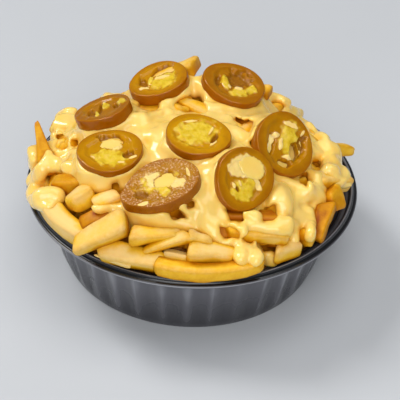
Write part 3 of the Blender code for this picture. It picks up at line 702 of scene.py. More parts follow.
def make_piece(name, vertices, faces, material, marks=None):
    """A mesh object from millimetre vertices, lists of faces with equal corner counts, and
    named values per vertex."""
    vertices = np.asarray(vertices, dtype=float)
    mesh = bpy.data.meshes.new(name)
    mesh.vertices.add(len(vertices))
    mesh.vertices.foreach_set("co", (vertices * MM).ravel())
    corners = np.concatenate([group.ravel() for group in faces])
    counts = np.concatenate([np.full(len(group), group.shape[1]) for group in faces])
    mesh.loops.add(len(corners))
    mesh.loops.foreach_set("vertex_index", corners.astype(np.int32))
    mesh.polygons.add(len(counts))
    starts = np.concatenate([[0], np.cumsum(counts)[:-1]])
    mesh.polygons.foreach_set("loop_start", starts.astype(np.int32))
    mesh.update(calc_edges=True)
    mesh.validate()
    mesh.shade_smooth()
    for mark, values in (marks or {}).items():
        layer = mesh.attributes.new(mark, "FLOAT", "POINT")
        layer.data.foreach_set("value", np.asarray(values, dtype=np.float32).ravel())
    mesh.materials.append(material)
    piece = bpy.data.objects.new(name, mesh)
    bpy.context.scene.collection.objects.link(piece)
    return piece


def grid_faces(rings, sides, start=0, closed=False):
    """Quads between neighbouring rings of equal size; a closed grid joins its last ring to
    its first, and an open one gets a face over each end."""
    ring = np.arange(rings if closed else rings - 1)[:, None]
    side = np.arange(sides)[None, :]
    after = (ring + 1) % rings
    across = (side + 1) % sides
    quads = np.stack([ring * sides + side, ring * sides + across,
                      after * sides + across, after * sides + side], axis=-1).reshape(-1, 4)
    if closed:
        return [quads + start]
    first = np.arange(sides)[::-1][None, :]
    last = (rings - 1) * sides + np.arange(sides)[None, :]
    return [quads + start, first + start, last + start]


# ---------------------------------------------------------------- materials

def to_linear(hex_colour):
    """sRGB hex to linear RGBA."""
    parts = [int(hex_colour[i:i + 2], 16) / 255 for i in (1, 3, 5)]
    return [c / 12.92 if c <= 0.04045 else ((c + 0.055) / 1.055) ** 2.4 for c in parts] + [1.0]


def colour_of(name):
    """A named colour, in linear RGBA."""
    return to_linear(COLOURS[name])


def grain_scale(name):
    """Scale of a noise pattern from its grain: one over the size in metres."""
    return 1 / (GRAIN[name] * MM)


def set_inputs(tree, node, inputs):
    """Give each named input of a node its value, or a link from the output that feeds it."""
    for key, value in dict(inputs).items():
        if isinstance(value, bpy.types.NodeSocket):
            tree.links.new(value, node.inputs[key])
        else:
            node.inputs[key].default_value = value


def add_node(tree, kind, inputs=(), stops=(), **settings):
    """Add a node with its settings, its colour stops, and its inputs, each a value or the
    output that feeds it."""
    made = tree.nodes.new(kind)
    for key, value in settings.items():
        setattr(made, key, value)
    for index, (place, name) in enumerate(stops):
        element = (made.color_ramp.elements[index] if index < 2
                   else made.color_ramp.elements.new(place))
        element.position = place
        element.color = colour_of(name)
    set_inputs(tree, made, inputs)
    return made


def new_material(name):
    """A material with its tree, its shader and the object coordinates."""
    material = bpy.data.materials.new(name)
    material.use_nodes = True
    tree = material.node_tree
    where = add_node(tree, "ShaderNodeTexCoord").outputs["Object"]
    return material, tree, tree.nodes["Principled BSDF"], where


def mixed(tree, share, first, second):
    """Colour output that goes from the first colour to the second as the share rises. Each is
    an output or the name of a colour."""
    ends = [colour_of(end) if isinstance(end, str) else end for end in (first, second)]
    node = add_node(tree, "ShaderNodeMix", data_type="RGBA",
                    inputs={0: share, 6: ends[0], 7: ends[1]})
    return node.outputs[2]


def attribute(tree, name):
    """Output that reads a value kept at each vertex."""
    return add_node(tree, "ShaderNodeAttribute", attribute_name=name).outputs["Fac"]


def moulded_polypropylene():
    """Injection moulded polypropylene: dense black with a polished flange. Its colour carries
    painted
    sheen: the outer wall is painted grey for the floor and the light that it would reflect, and
    painted highlight lines lie along the lip, the bead and the inner steps."""
    material, tree, shader, where = new_material("moulded_polypropylene")
    dull = attribute(tree, "dull")
    cloud = add_node(tree, "ShaderNodeTexNoise",
                     inputs={"Vector": where, "Scale": grain_scale("mould_cloud"), "Detail": 4.0})
    half = add_node(tree, "ShaderNodeMath", operation="MULTIPLY", inputs={0: dull, 1: 0.5})
    # Painted sheen and painted highlights: black at 0, grey at 1, light grey at 2
    colour = add_node(tree, "ShaderNodeValToRGB", inputs={"Fac": half.outputs[0]},
                      stops=((0.0, "plastic"), (1.0, "plastic_painted_highlight"), (0.5, "plastic_painted_sheen")))
    rough = add_node(tree, "ShaderNodeMapRange",
                     inputs={"Value": dull, "To Min": 0.14, "To Max": 0.28})
    worn = add_node(tree, "ShaderNodeMath", operation="MULTIPLY_ADD",
                    inputs={0: cloud.outputs["Fac"], 1: 0.10, 2: rough.outputs["Result"]})
    grain = add_node(tree, "ShaderNodeTexNoise",
                     inputs={"Vector": where, "Scale": grain_scale("mould_texture")})
    bump = add_node(tree, "ShaderNodeBump", inputs={"Height": grain.outputs["Fac"],
                                                    "Strength": 0.05, "Distance": 0.0002})
    set_inputs(tree, shader, {"Base Color": colour.outputs["Color"],
                              "Roughness": worn.outputs[0], "IOR": 1.49,
                              "Normal": bump.outputs[0]})
    return material


def fried_potato():
    """Deep fried potato: soft pale faces with a thin golden skin, browner on corners and ends.
    Painted shade browns it deep in the heap, in crevices and on its undersides, and a blistered
    skin gives it a fine dull gloss."""
    material, tree, shader, where = new_material("fried_potato")
    cloud = add_node(tree, "ShaderNodeTexNoise",
                     inputs={"Vector": where, "Scale": grain_scale("potato_mottle"),
                             "Detail": 5.0, "Roughness": 0.65})
    # Painted shade: the tone deepens towards brown where the fry is shut in
    shade = add_node(tree, "ShaderNodeMath", operation="MULTIPLY_ADD",
                     inputs={0: attribute(tree, "fold"), 1: 0.75, 2: attribute(tree, "tone")})
    tone = add_node(tree, "ShaderNodeMath", operation="MULTIPLY_ADD",
                    inputs={0: cloud.outputs["Fac"], 1: 0.7, 2: shade.outputs[0]})
    spread = add_node(tree, "ShaderNodeMath", operation="MULTIPLY",
                      inputs={0: tone.outputs[0], 1: 0.5})
    # Tone with painted shade: pale, golden, deep golden and, deepest, the painted shade of gaps
    body = add_node(tree, "ShaderNodeValToRGB", inputs={"Fac": spread.outputs[0]},
                    stops=((0.20, "fry_pale"), (1.0, "fry_painted_gap_shade"), (0.46, "fry_golden"),
                           (0.70, "fry_deep")))
    spots = add_node(tree, "ShaderNodeTexNoise",
                     inputs={"Vector": where, "Scale": grain_scale("crisp_spots"), "Detail": 3.0})
    crisp = add_node(tree, "ShaderNodeMath", operation="MULTIPLY",
                     inputs={0: attribute(tree, "crisp"), 1: spots.outputs["Fac"]})
    blister = add_node(tree, "ShaderNodeTexNoise",
                       inputs={"Vector": where, "Scale": grain_scale("blister"), "Detail": 3.0})
    bump = add_node(tree, "ShaderNodeBump", inputs={"Height": blister.outputs["Fac"],
                                                    "Strength": 0.3, "Distance": 0.0006})
    set_inputs(tree, shader, {
        "Base Color": mixed(tree, crisp.outputs[0], body.outputs["Color"], "fry_crisp"),
        "Roughness": 0.48, "IOR": 1.45, "Specular IOR Level": 0.22, "Subsurface Weight": 0.15,
        "Subsurface Radius": (1.0, 0.7, 0.2), "Subsurface Scale": 0.002,
        "Normal": bump.outputs[0]})
    return material


def melted_cheese():
    """Poured cheese sauce: an opaque glossy emulsion that light enters and leaves a few
    millimetres on, so it glows warm where it is thin and stays pale on top. Painted shade turns
    it golden orange and less glossy in folds and crevices."""
    material, tree, shader, where = new_material("melted_cheese")
    cloud = add_node(tree, "ShaderNodeTexNoise",
                     inputs={"Vector": where, "Scale": grain_scale("sauce_cloud"), "Detail": 3.0})
    open_colour = mixed(tree, cloud.outputs["Fac"], "sauce", "sauce_deep")
    # Painted shade: the sauce goes towards its golden orange crevice colour where it is shut in
    deep = add_node(tree, "ShaderNodeMath", operation="MULTIPLY",
                    inputs={0: attribute(tree, "fold"), 1: 0.64})
    gloss = add_node(tree, "ShaderNodeMapRange",
                     inputs={"Value": attribute(tree, "fold"), "To Min": 0.5, "To Max": 0.05})
    film = add_node(tree, "ShaderNodeTexNoise",
                    inputs={"Vector": where, "Scale": grain_scale("sauce_film"), "Detail": 2.0})
    bump = add_node(tree, "ShaderNodeBump", inputs={"Height": film.outputs["Fac"],
                                                    "Strength": 0.12, "Distance": 0.0008})
    set_inputs(tree, shader, {
        "Base Color": mixed(tree, deep.outputs[0], open_colour, "sauce_fold"),
        "Roughness": 0.22, "IOR": 1.42, "Specular IOR Level": gloss.outputs["Result"],
        "Coat Weight": gloss.outputs["Result"], "Coat Roughness": 0.08,
        "Subsurface Weight": 0.45, "Subsurface Radius": (1.0, 0.75, 0.35),
        "Subsurface Scale": 0.003, "Normal": bump.outputs[0]})
    return material


def torn_edge(tree, name, grain, softness):
    """A tissue's share with its border pushed in and out by the grain: crisp where sauce lies
    on the flesh, soft where one tissue passes into the next."""
    pushed = add_node(tree, "ShaderNodeMath", operation="MULTIPLY_ADD",
                      inputs={0: grain.outputs["Fac"], 1: 0.4, 2: attribute(tree, name)})
    return add_node(tree, "ShaderNodeMapRange",
                    inputs={"Value": pushed.outputs[0], "From Min": 0.7 - softness,
                            "From Max": 0.7 + softness}).outputs["Result"]


def pickled_pepper(name, torn):
    """Pickled green pepper: wet translucent flesh inside a waxy skin, round a pale seed core.
    A blunt blade leaves some faces torn into fine wet points, whose glitter is painted glints.
    The hollows are painted dark brown as shade."""
    material, tree, shader, where = new_material(name)
    cloud = add_node(tree, "ShaderNodeTexNoise",
                     inputs={"Vector": where, "Scale": grain_scale("flesh_cloud"), "Detail": 4.0})
    grain = add_node(tree, "ShaderNodeTexNoise",
                     inputs={"Vector": where, "Scale": grain_scale("seed"), "Detail": 2.5,
                             "Roughness": 0.5})
    fibre = add_node(tree, "ShaderNodeTexNoise",
                     inputs={"Vector": where, "Scale": grain_scale("fibre"), "Detail": 2.0})
    edge = add_node(tree, "ShaderNodeMath", operation="MULTIPLY_ADD", use_clamp=True,
                    inputs={0: cloud.outputs["Fac"], 1: 0.5, 2: attribute(tree, "outer")})
    colour = mixed(tree, edge.outputs[0], "flesh", "flesh_dark")
    if torn:
        # Painted glints: pale flecks mixed into the torn face's flesh colour
        points = add_node(tree, "ShaderNodeMapRange",
                          inputs={"Value": fibre.outputs["Fac"], "From Min": 0.53,
                                  "From Max": 0.66, "To Max": 0.5})
        colour = mixed(tree, points.outputs["Result"], colour, "glint")
    seeds = add_node(tree, "ShaderNodeValToRGB", inputs={"Fac": grain.outputs["Fac"]},
                     stops=((0.26, "placenta_deep"), (0.76, "placenta_pale"),
                            (0.50, "placenta")))
    # Painted shade in the hollows: dark brown, lighter in fibres
    cavity = mixed(tree, fibre.outputs["Fac"], "hollow", "hollow_light")
    for tissue, softness, looks in (("placenta", 0.36, seeds.outputs["Color"]),
                                    ("hollow", 0.30, cavity), ("cream", 0.20, "cream")):
        colour = mixed(tree, torn_edge(tree, tissue, grain, softness), colour, looks)
    skin = mixed(tree, cloud.outputs["Fac"], "skin", "skin_light")
    rough = add_node(tree, "ShaderNodeMapRange",
                     inputs={"Value": attribute(tree, "placenta"),
                             "To Min": 0.7 if torn else 0.07, "To Max": 0.14})
    bump = add_node(tree, "ShaderNodeBump", inputs={"Height": fibre.outputs["Fac"],
                                                    "Strength": rough.outputs["Result"],
                                                    "Distance": 0.0008})
    set_inputs(tree, shader, {
        "Base Color": mixed(tree, attribute(tree, "skin"), colour, skin),
        "Roughness": 0.16, "IOR": 1.4, "Specular IOR Level": 0.34, "Subsurface Weight": 0.4,
        "Subsurface Radius": (1.0, 0.7, 0.1), "Subsurface Scale": 0.003,
        "Normal": bump.outputs[0]})
    return material


def painted_board():
    """Plain painted board under the bowl: matt, pale and faintly uneven."""
    material, tree, shader, where = new_material("painted_board")
    cloud = add_node(tree, "ShaderNodeTexNoise",
                     inputs={"Vector": where, "Scale": grain_scale("board_cloud"), "Detail": 4.0})
    base = colour_of("floor")
    colour = mixed(tree, cloud.outputs["Fac"], base, [c * 0.96 for c in base[:3]] + [1.0])
    set_inputs(tree, shader, {"Base Color": colour, "Roughness": 0.7})
    return material


# ---------------------------------------------------------------- bowl

def wall_radius(z):
    """Middle radius of the bowl's outer wall at a height."""
    return BASE_RADIUS + (WALL_TOP_RADIUS - BASE_RADIUS) * z / WALL_TOP_Z


def bowl_section():
    """Half section of the bowl, from the underside's edge up the outer wall, over the flange
    and bead and down the inside: radius, height, share of the flutes, and painted sheen."""
    return np.array([
        # The last column is painted sheen: 0 is the black plastic, 1 the grey of reflected floor
        # and light, 2 a painted highlight
        (BASE_RADIUS - 12.0, 0.9, 0.0, 0.3),
        (BASE_RADIUS - 4.2, 0.8, 0.0, 0.3),
        (BASE_RADIUS - 3.4, 0.0, 0.0, 0.3),
        (BASE_RADIUS - 1.4, 0.0, 0.0, 0.3),
        # Painted highlight along the foot's rounded edge
        (BASE_RADIUS - 0.4, 0.4, 0.0, 0.5),
        (BASE_RADIUS + 0.1, 1.4, 0.0, 0.5),
        # Painted sheen up the outer wall, darker towards the foot
        (wall_radius(4), 4.0, 0.3, 0.3),
        (wall_radius(10), 10.0, 1.0, 0.4),
        (wall_radius(22), 22.0, 1.0, 0.7),
        (wall_radius(32), 32.0, 1.0, 1.0),
        (wall_radius(40), 40.0, 0.8, 1.0),
        (WALL_TOP_RADIUS, WALL_TOP_Z, 0.5, 0.8),
        (WALL_TOP_RADIUS + 1.2, 43.6, 0.1, 0.4),
        (WALL_TOP_RADIUS + 3.4, 44.6, 0.0, 0.2),
        (RIM_RADIUS - 3.8, 44.9, 0.0, 0.0),
        (RIM_RADIUS - 1.6, 44.9, 0.0, 0.0),
        (RIM_RADIUS - 0.6, 45.1, 0.0, 0.0),
        # Painted highlight line along the lip
        (RIM_RADIUS - 0.15, 45.5, 0.0, 0.5),
        (RIM_RADIUS, 46.0, 0.0, 2.0),
        (RIM_RADIUS - 0.25, 46.5, 0.0, 0.6),
        (RIM_RADIUS - 0.9, 46.7, 0.0, 0.0),
        (RIM_RADIUS - 1.7, 46.9, 0.0, 0.0),
        (RIM_RADIUS - 2.2, 47.6, 0.0, 0.0),
        # Painted highlight line along the bead
        (BEAD_RADIUS + 0.5, BEAD_TOP - 0.2, 0.0, 0.2),
        (BEAD_RADIUS, BEAD_TOP, 0.0, 1.5),
        (BEAD_RADIUS - 0.6, BEAD_TOP - 0.2, 0.0, 1.0),
        (BEAD_RADIUS - 1.1, BEAD_TOP - 0.9, 0.0, 0.0),
        (BEAD_RADIUS - 1.5, 46.4, 0.0, 0.0),
        # Painted reflections on the inner steps
        (BEAD_RADIUS - 2.6, 45.8, 0.0, 0.9),
        (WALL_TOP_RADIUS + 1.6, 45.2, 0.0, 0.0),
        (WALL_TOP_RADIUS - 0.4, 44.2, 0.3, 0.9),
        (WALL_TOP_RADIUS - WALL, WALL_TOP_Z, 0.8, 0.0),
        (wall_radius(32) - WALL, 32.0, 1.0, 0.0),
        (wall_radius(20) - WALL, 20.0, 1.0, 0.0),
        (wall_radius(8) - WALL, 8.0, 0.8, 0.0),
        (wall_radius(2.5) - WALL, 2.6, 0.1, 0.0),
        (BASE_RADIUS - 2.6, 1.4, 0.0, 0.0),
        (BASE_RADIUS - 12.0, 1.9, 0.0, 0.0),
    ])


def make_bowl():
    """The half section turned about the upright axis. The radius swings with the flutes as
    share x depth x cos(flutes x angle), a little sharpened by its third harmonic. Each ridge
    of the wall gets its own seeded share of painted sheen."""
    section = bowl_section()
    steps = np.linalg.norm(np.diff(section[:, :2], axis=0), axis=1)
    lengths = np.concatenate([[0], np.cumsum(steps)])
    even = np.interp(np.linspace(0, 1, BOWL_RINGS), np.linspace(0, 1, len(lengths)), lengths)
    radii, heights, shares, dull = (np.interp(even, lengths, column)[:, None]
                                    for column in section.T)
    angle = turn_angles(BOWL_SEGMENTS)
    wave = np.cos(FLUTES * angle) + FLUTE_SHARPNESS * np.cos(3 * FLUTES * angle)
    radius = radii + shares * FLUTE_DEPTH * wave
    points = np.stack([radius * np.cos(angle), radius * np.sin(angle),
                       np.repeat(heights, BOWL_SEGMENTS, axis=1)], axis=-1)
    sheen = np.random.default_rng(FLUTES).uniform(0.0, RIDGE_SHEEN, size=FLUTES)
    ridge = np.repeat(sheen, BOWL_SEGMENTS // FLUTES) * np.clip(wave, 0, 1)
    return make_piece("bowl_shell", points.reshape(-1, 3),
                      grid_faces(BOWL_RINGS, BOWL_SEGMENTS), moulded_polypropylene(),
                      {"dull": dull + shares * np.where(dull > 0.3, ridge, 0)})


# ---------------------------------------------------------------- heap and fries

def core_height(radius, reach=CORE_RADIUS, rise=CORE_RISE):
    """Height of the bare heap at a distance from the middle, a dome with a steep edge:
    base + rise x (1 - (distance / reach) ^ round) ^ shoulder."""
    share = np.clip(1 - (np.asarray(radius) / reach) ** CORE_ROUND, 0, 1)
    return CORE_BASE_Z + rise * share ** CORE_SHOULDER


def dome_height(radius):
    """Height of the sauced heap: the same dome, a little wider and higher."""
    return core_height(radius, DOME_RADIUS, DOME_RISE)


def heap_slope(height, radius, step=0.5):
    """Rise of a dome per millimetre outwards, taken over a short step to both sides."""
    return (height(radius + step) - height(np.maximum(radius - step, 0))) / (2 * step)


def back_fall(x, y):
    """How far the heap is below the dome over (x, y): full at the two back corners, fading
    towards the middle, the front and the rim."""
    radius = np.hypot(x, y)
    corners = step_between(*FALL_RIGHT, x) + step_between(*FALL_LEFT, x)
    return (BACK_FALL * corners * step_between(*FALL_BACK, y) * step_between(*FALL_OUT, radius)
            * step_between(*FALL_RIM, radius))


def dome_frame(x, y):
    """Point on the sauced heap over (x, y) and its outward direction."""
    radius = max(math.hypot(x, y), 1e-6)
    slope = heap_slope(dome_height, radius, 0.25)
    out = unit(np.array([-slope * x / radius, -slope * y / radius, 1.0]))
    return np.array([x, y, float(dome_height(radius))]), out


def core_points():
    """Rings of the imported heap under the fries: up the bowl's inside, then over the dome,
    with soft bumps as deep fries would make."""
    foot = BASE_RADIUS - WALL - FLUTE_DEPTH - BOWL_CLEARANCE
    wall = WALL_TOP_RADIUS - WALL - FLUTE_DEPTH - BOWL_CLEARANCE
    angle = turn_angles(CORE_SEGMENTS)
    share = np.linspace(CORE_SHARES[0], 0.0, CORE_RINGS) ** CORE_CROWDING
    share[-1] = CORE_SHARES[1]
    lower = np.array([(foot - inset, height) for inset, height in CORE_FOOT]
                     + [(wall - CORE_WALL_GAP, WALL_TOP_Z)])
    radius = np.concatenate([lower[:, 0], share * CORE_RADIUS * CORE_SHRINK])[:, None]
    height = np.concatenate([lower[:, 1], core_height(share * CORE_RADIUS)])[:, None]
    x = radius * np.cos(angle)
    y = radius * np.sin(angle)
    z = np.repeat(height, CORE_SEGMENTS, axis=1)
    bump = uneven("core", x, y, z) - CORE_SINK
    free = np.concatenate([np.zeros(len(lower)), np.ones(CORE_RINGS)])[:, None]
    return np.stack([x, y, z + free * (bump - back_fall(x, y))], axis=-1)


class Ring:
    """One pepper ring: its sizes, and its directions along, across and out of the cut face."""

    def __init__(self, name):
        """The face's normal leans from upright by the tilt towards the azimuth, and the
        direction along it is turned about the normal from the level one."""
        self.name = name
        self.number = int(name[-1])
        (centre, tilt, azimuth, self.long, self.short, turn, self.thick,
         self.hole) = PEPPERS[name]
        self.shows = PEPPER_SHOWS[name]
        self.sauce = HOLE_SAUCE.get(name, MIDDLE_SAUCE)
        lean, way, spin = (math.radians(value) for value in (tilt, azimuth, turn))
        self.centre = np.array(centre, dtype=float)
        self.normal = np.array([math.sin(lean) * math.cos(way), math.sin(lean) * math.sin(way),
                                math.cos(lean)])
        level = unit(np.array([1.0, 0.0, 0.0]) - self.normal[0] * self.normal)
        self.along = math.cos(spin) * level + math.sin(spin) * np.cross(self.normal, level)
        self.across = np.cross(self.normal, self.along)

    def measure(self, offset):
        """How far offsets from the centre go along, across and out of the face."""
        return offset @ self.along, offset @ self.across, offset @ self.normal

    def place(self, u, v, w=0.0):
        """Points that far along, across and out of the face."""
        flat = self.centre + u[..., None] * self.along + v[..., None] * self.across
        return flat + np.asarray(w)[..., None] * self.normal


RINGS = {name: Ring(name) for name in PEPPERS}


def drop_under_peppers(start, end, width):
    """How far a fry has to sink to clear the underside of every ring over it."""
    line = start + np.linspace(0, 1, 9)[:, None] * (end - start)
    drop = 0.0
    for ring in RINGS.values():
        u, v, w = ring.measure(line - ring.centre)
        near = (u / (ring.long + width / 2)) ** 2 + (v / (ring.short + width / 2)) ** 2 < 1
        if near.any():
            over = w + ring.thick + 0.55 * width
            drop = max(drop, float(np.max(np.where(near, over, 0.0))))
    return drop


def inside_outline(pixel, outline):
    """Whether a pixel is inside a closed outline: it crosses an odd number of its sides."""
    corners = np.asarray(outline, dtype=float)
    after = np.roll(corners, -1, axis=0)
    spans = (corners[:, 1] > pixel[1]) != (after[:, 1] > pixel[1])
    rise = np.where(after[:, 1] == corners[:, 1], 1.0, after[:, 1] - corners[:, 1])
    cross = corners[:, 0] + (pixel[1] - corners[:, 1]) / rise * (after[:, 0] - corners[:, 0])
    return bool(np.sum(spans & (cross > pixel[0])) % 2)


def along_dome(out, heading):
    """Direction in the dome's tangent plane at a heading seen from above."""
    return unit(np.cross(out, (math.sin(heading), -math.cos(heading), 0.0)))


def fry_end(point, offset, limit, depth):
    """One end of a fry: a point on the dome moved by an offset, held within a distance of the
    middle, and sunk by a depth."""
    place = point + offset
    reach = math.hypot(place[0], place[1])
    held = min(reach, limit) / max(reach, 1e-6)
    under, out = dome_frame(place[0] * held, place[1] * held)
    return under - depth * out


def seeded_cut(draw, length):
    """How a fry bends, and how thin each of its ends is cut."""
    bend = FRY_BEND * length * draw.normal(size=3)
    return bend, np.maximum(draw.uniform(*FRY_WEDGE, size=2), 0)


def heap_fries():
    """Fries spread evenly over the heap on a sunflower spiral, each laid in the dome's tangent
    plane with a seeded length, width, depth and pitch, and with the one of several seeded
    headings that has to sink least under the pepper rings. Those in the front that the
    photograph shows bare lie a layer deeper, under the ones placed by name."""
    draw = np.random.default_rng(HEAP_SEED)
    fries = []
    for index in range(HEAP_FRIES):
        radius, angle = spiral_place(index, HEAP_FRIES, HEAP_REACH)
        angle += draw.uniform(-HEAP_SWAY, HEAP_SWAY)
        point, out = dome_frame(radius * math.cos(angle), radius * math.sin(angle))
        headings = draw.uniform(0, 2 * math.pi, size=FRY_TRIES)
        outer = radius > OUTER_FROM
        if outer:
            headings = angle + math.pi / 2 + draw.normal(0, OUTER_SPREAD, size=FRY_TRIES)
        width = draw.uniform(*FRY_WIDTH)
        length = draw.uniform(*FRY_LENGTH) * (OUTER_LENGTH if outer else 1.0)
        depth = SAUCE_THICK + width / 2 + draw.uniform(*HEAP_DEPTH)
        pitch = draw.normal(0, HEAP_PITCH)
        tone = draw.uniform(*HEAP_TONE)
        roll = draw.uniform(0, 90)
        lift = draw.uniform(*HEAP_LIFT)
        pixel = [float(value) for value in to_pixels(point)]
        if -out @ FORWARD > UNDER_FACING and not inside_outline(pixel, SAUCE_OUTLINE):
            depth += UNDER_DEPTH
            # Painted shade on the deeper layer
            tone += UNDER_TONE
        tries = []
        for heading in headings:
            level = along_dome(out, heading)
            start, end = (fry_end(point, way * length * level, FRY_LIMIT,
                                  depth + 2 * way * pitch) for way in (-0.5, 0.5))
            gap = (point - depth * out) - (start + end) / 2
            raised = lift * max(float(gap @ out), 0.0) * out
            start, end = start + raised, end + raised
            tries.append((drop_under_peppers(start, end, width), start, end))
        drop, start, end = min(tries, key=lambda one: one[0])
        bend, wedge = seeded_cut(draw, length)
        if point[1] > BACK_SINK_FROM[0] and radius > BACK_SINK_FROM[1]:
            drop += BACK_SINK
        sink = np.array([0.0, 0.0, drop + back_fall(point[0], point[1])])
        fries.append((start - sink, end - sink, width, tone, roll, (1.0, 1.0), bend, wedge))
    return fries


def edge_fries():
    """Short fries at the sides and back, in rows that follow the heap's edge: each lies with
    its top level with the dome, at a seeded heading about the row's own direction."""
    draw = np.random.default_rng(HEAP_SEED + 3)
    fries = []
    for radius, count, spread, drop in EDGE_ROWS:
        for place in np.radians(np.linspace(*EDGE_ARC, count)):
            angle = place + draw.uniform(-EDGE_TURN, EDGE_TURN)
            point, out = dome_frame(radius * math.cos(angle), radius * math.sin(angle))
            level = along_dome(out, angle + math.pi / 2 + draw.normal(0, spread))
            width = draw.uniform(*FRY_WIDTH)
            length = draw.uniform(*EDGE_LENGTH)
            depth = 0.5 * width + draw.uniform(*EDGE_DEPTH)
            low = np.array([0.0, 0.0, drop + back_fall(point[0], point[1])])
            start, end = (fry_end(point, way * length * level, EDGE_REACH,
                                  depth + draw.normal(0, EDGE_PITCH)) - low
                          for way in (-0.5, 0.5))
            bend, wedge = seeded_cut(draw, length)
            fries.append((start, end, width, draw.uniform(*EDGE_TONE), draw.uniform(0, 90),
                          (1.0, 1.0), bend, wedge))
    return fries


def named_fries():
    """The fries placed by name, and those of them that the sauce covers."""
    draw = np.random.default_rng(HEAP_SEED + 1)
    bare, coated = [], []
    for name, (start, end, width, tone, covered) in OPEN_FRIES.items():
        roll = draw.uniform(*ROLL_SPREAD)
        fry = (np.array(start, float), np.array(end, float), width, tone,
               ROLLS.get(name, roll), TAPERS.get(name, (1.0, 1.0)),
               np.array(BENDS.get(name, (0, 0, 0)), float), NAMED_WEDGE)
        (coated if covered else bare).append(fry)
    return bare, coated


def fry_axes(start, end, roll):
    """Directions along a fry, to its side and up, turned about it by the roll."""
    along = unit(end - start)
    side = unit(np.cross(along, (0.0, 0.0, 1.0)))
    up = np.cross(side, along)
    turn = math.radians(roll)
    return (along, math.cos(turn) * side + math.sin(turn) * up,
            -math.sin(turn) * side + math.cos(turn) * up)


def fry_section():
    """Outline of a fry across it, as shares of the half width to the side and up: a square
    with small round corners, each side held straight by two points."""
    turn = np.radians(np.array(FRY_CORNER_TURNS))
    flat = 1 - FRY_CORNER
    quarter = np.concatenate([
        np.stack([flat + FRY_CORNER * np.cos(turn), flat + FRY_CORNER * np.sin(turn)]),
        [[FRY_FACE_POINT, -FRY_FACE_POINT], [1.0, 1.0]]], axis=1)
    return np.concatenate([quarter, quarter[::-1] * [[-1], [1]], -quarter,
                           quarter[::-1] * [[1], [-1]]], axis=1)


def fry_grid(fry, draw):
    """One fry: the section carried along a slightly bent line, place = line + size x (across,
    above). Both ends are cut askew and rounded over, some thin to a wedge, and the width
    wavers along the length."""
    start, end, width, tone, roll, taper, bend, wedge = fry
    length = np.linalg.norm(end - start)
    along, side, up = fry_axes(start, end, roll)
    section = fry_section()
    tip = np.array(FRY_TIP)
    inner = np.linspace(FRY_EVEN_FROM, length - FRY_EVEN_FROM, FRY_RINGS - 2 * len(tip))
    reach = np.concatenate([tip, inner, length - tip[::-1]])
    from_end = np.minimum(reach, length - reach)
    rounding = np.clip(1 - from_end / FRY_ROUND_LENGTH, 0, 1)
    rounding = 1 - FRY_ROUND * rounding ** FRY_ROUND_POWER
    share = reach / length
    size = width / 2 * rounding * (taper[0] + (taper[1] - taper[0]) * share)
    waver = [1 + FRY_WAVER * np.sin(draw.uniform(*WAVER_TURNS) * share + draw.uniform(0, 6.3))
             for _ in range(2)]
    flat = draw.uniform(*FRY_FLAT)
    skew = draw.normal(0, FRY_SKEW, size=2)
    fade = np.stack([np.clip(1 - reach / SKEW_LENGTH, 0, 1),
                     -np.clip(1 - (length - reach) / SKEW_LENGTH, 0, 1)])
    thin = np.ones_like(reach)
    for near_end, amount in zip((reach, length - reach), wedge):
        thin *= 1 - amount * (1 - step_between(0, WEDGE_LENGTH, near_end))
    across = size[:, None] * waver[0][:, None] * section[0]
    above = size[:, None] * (waver[1] * thin)[:, None] * flat * section[1]
    slide = (skew @ fade)[:, None] * across
    line = start + reach[:, None] * along + (4 * share * (1 - share))[:, None] * bend
    line = line[:, None, :]
    points = line + across[..., None] * side + above[..., None] * up + slide[..., None] * along
    knobs = uneven("fry", *np.moveaxis(points, -1, 0), int(draw.integers(1, 9)))
    points = points + FRY_KNOBS * knobs[..., None] * (points - line) / (width / 2)
    face = np.repeat(draw.normal(0, FACE_TONE, size=4), FRY_SIDES // 4)
    outward = unit(points - line + 1e-6)
    # The last term is painted shade: deeper tone on the faces that look down
    shade = tone + face + KNOB_TONE * knobs + UNDERSIDE_TONE * (0.6 - outward[..., 2])
    corner = np.tile([1.0, 1.0, 1.0, 0.0, 0.0], FRY_SIDES // 5)
    ends = np.clip(1 - from_end / CRISP_LENGTH, 0, 1)[:, None]
    crisp = np.clip(CRISP_CORNER * corner + CRISP_END * ends * draw.uniform(*CRISP_SPREAD), 0, 1)
    return points, outward, shade, crisp * max(CRISP_TONE[0] + CRISP_TONE[1] * tone, 0.0)


def make_fries(fries, field, everything):
    """The heap: its core and every fry over it, joined as one mesh."""
    draw = np.random.default_rng(HEAP_SEED + 2)
    core = core_points()
    faces = grid_faces(len(core), CORE_SEGMENTS)
    core = core.reshape(-1, 3)
    count = len(core)
    # The core's tone stands for shaded fries deep in the heap: painted shade
    parts = [(core, np.tile([0.0, 0.0, 1.0], (count, 1)), np.full(count, CORE_TONE),
              np.zeros(count))]
    for fry in fries:
        grid, outward, tone, crisp = fry_grid(fry, draw)
        faces += grid_faces(len(grid), FRY_SIDES, start=count)
        count += tone.size
        parts.append((grid.reshape(-1, 3), outward.reshape(-1, 3), tone.ravel(), crisp.ravel()))
    points, outward, tone, crisp = (np.concatenate(part) for part in zip(*parts))
    # How shut in each point is, given as painted shade
    fold = shut_in(field, everything, points, outward)
    return make_piece("fries_heap", points, faces, fried_potato(),
                      {"tone": tone, "crisp": crisp, "fold": fold})


# ---------------------------------------------------------------- sauce

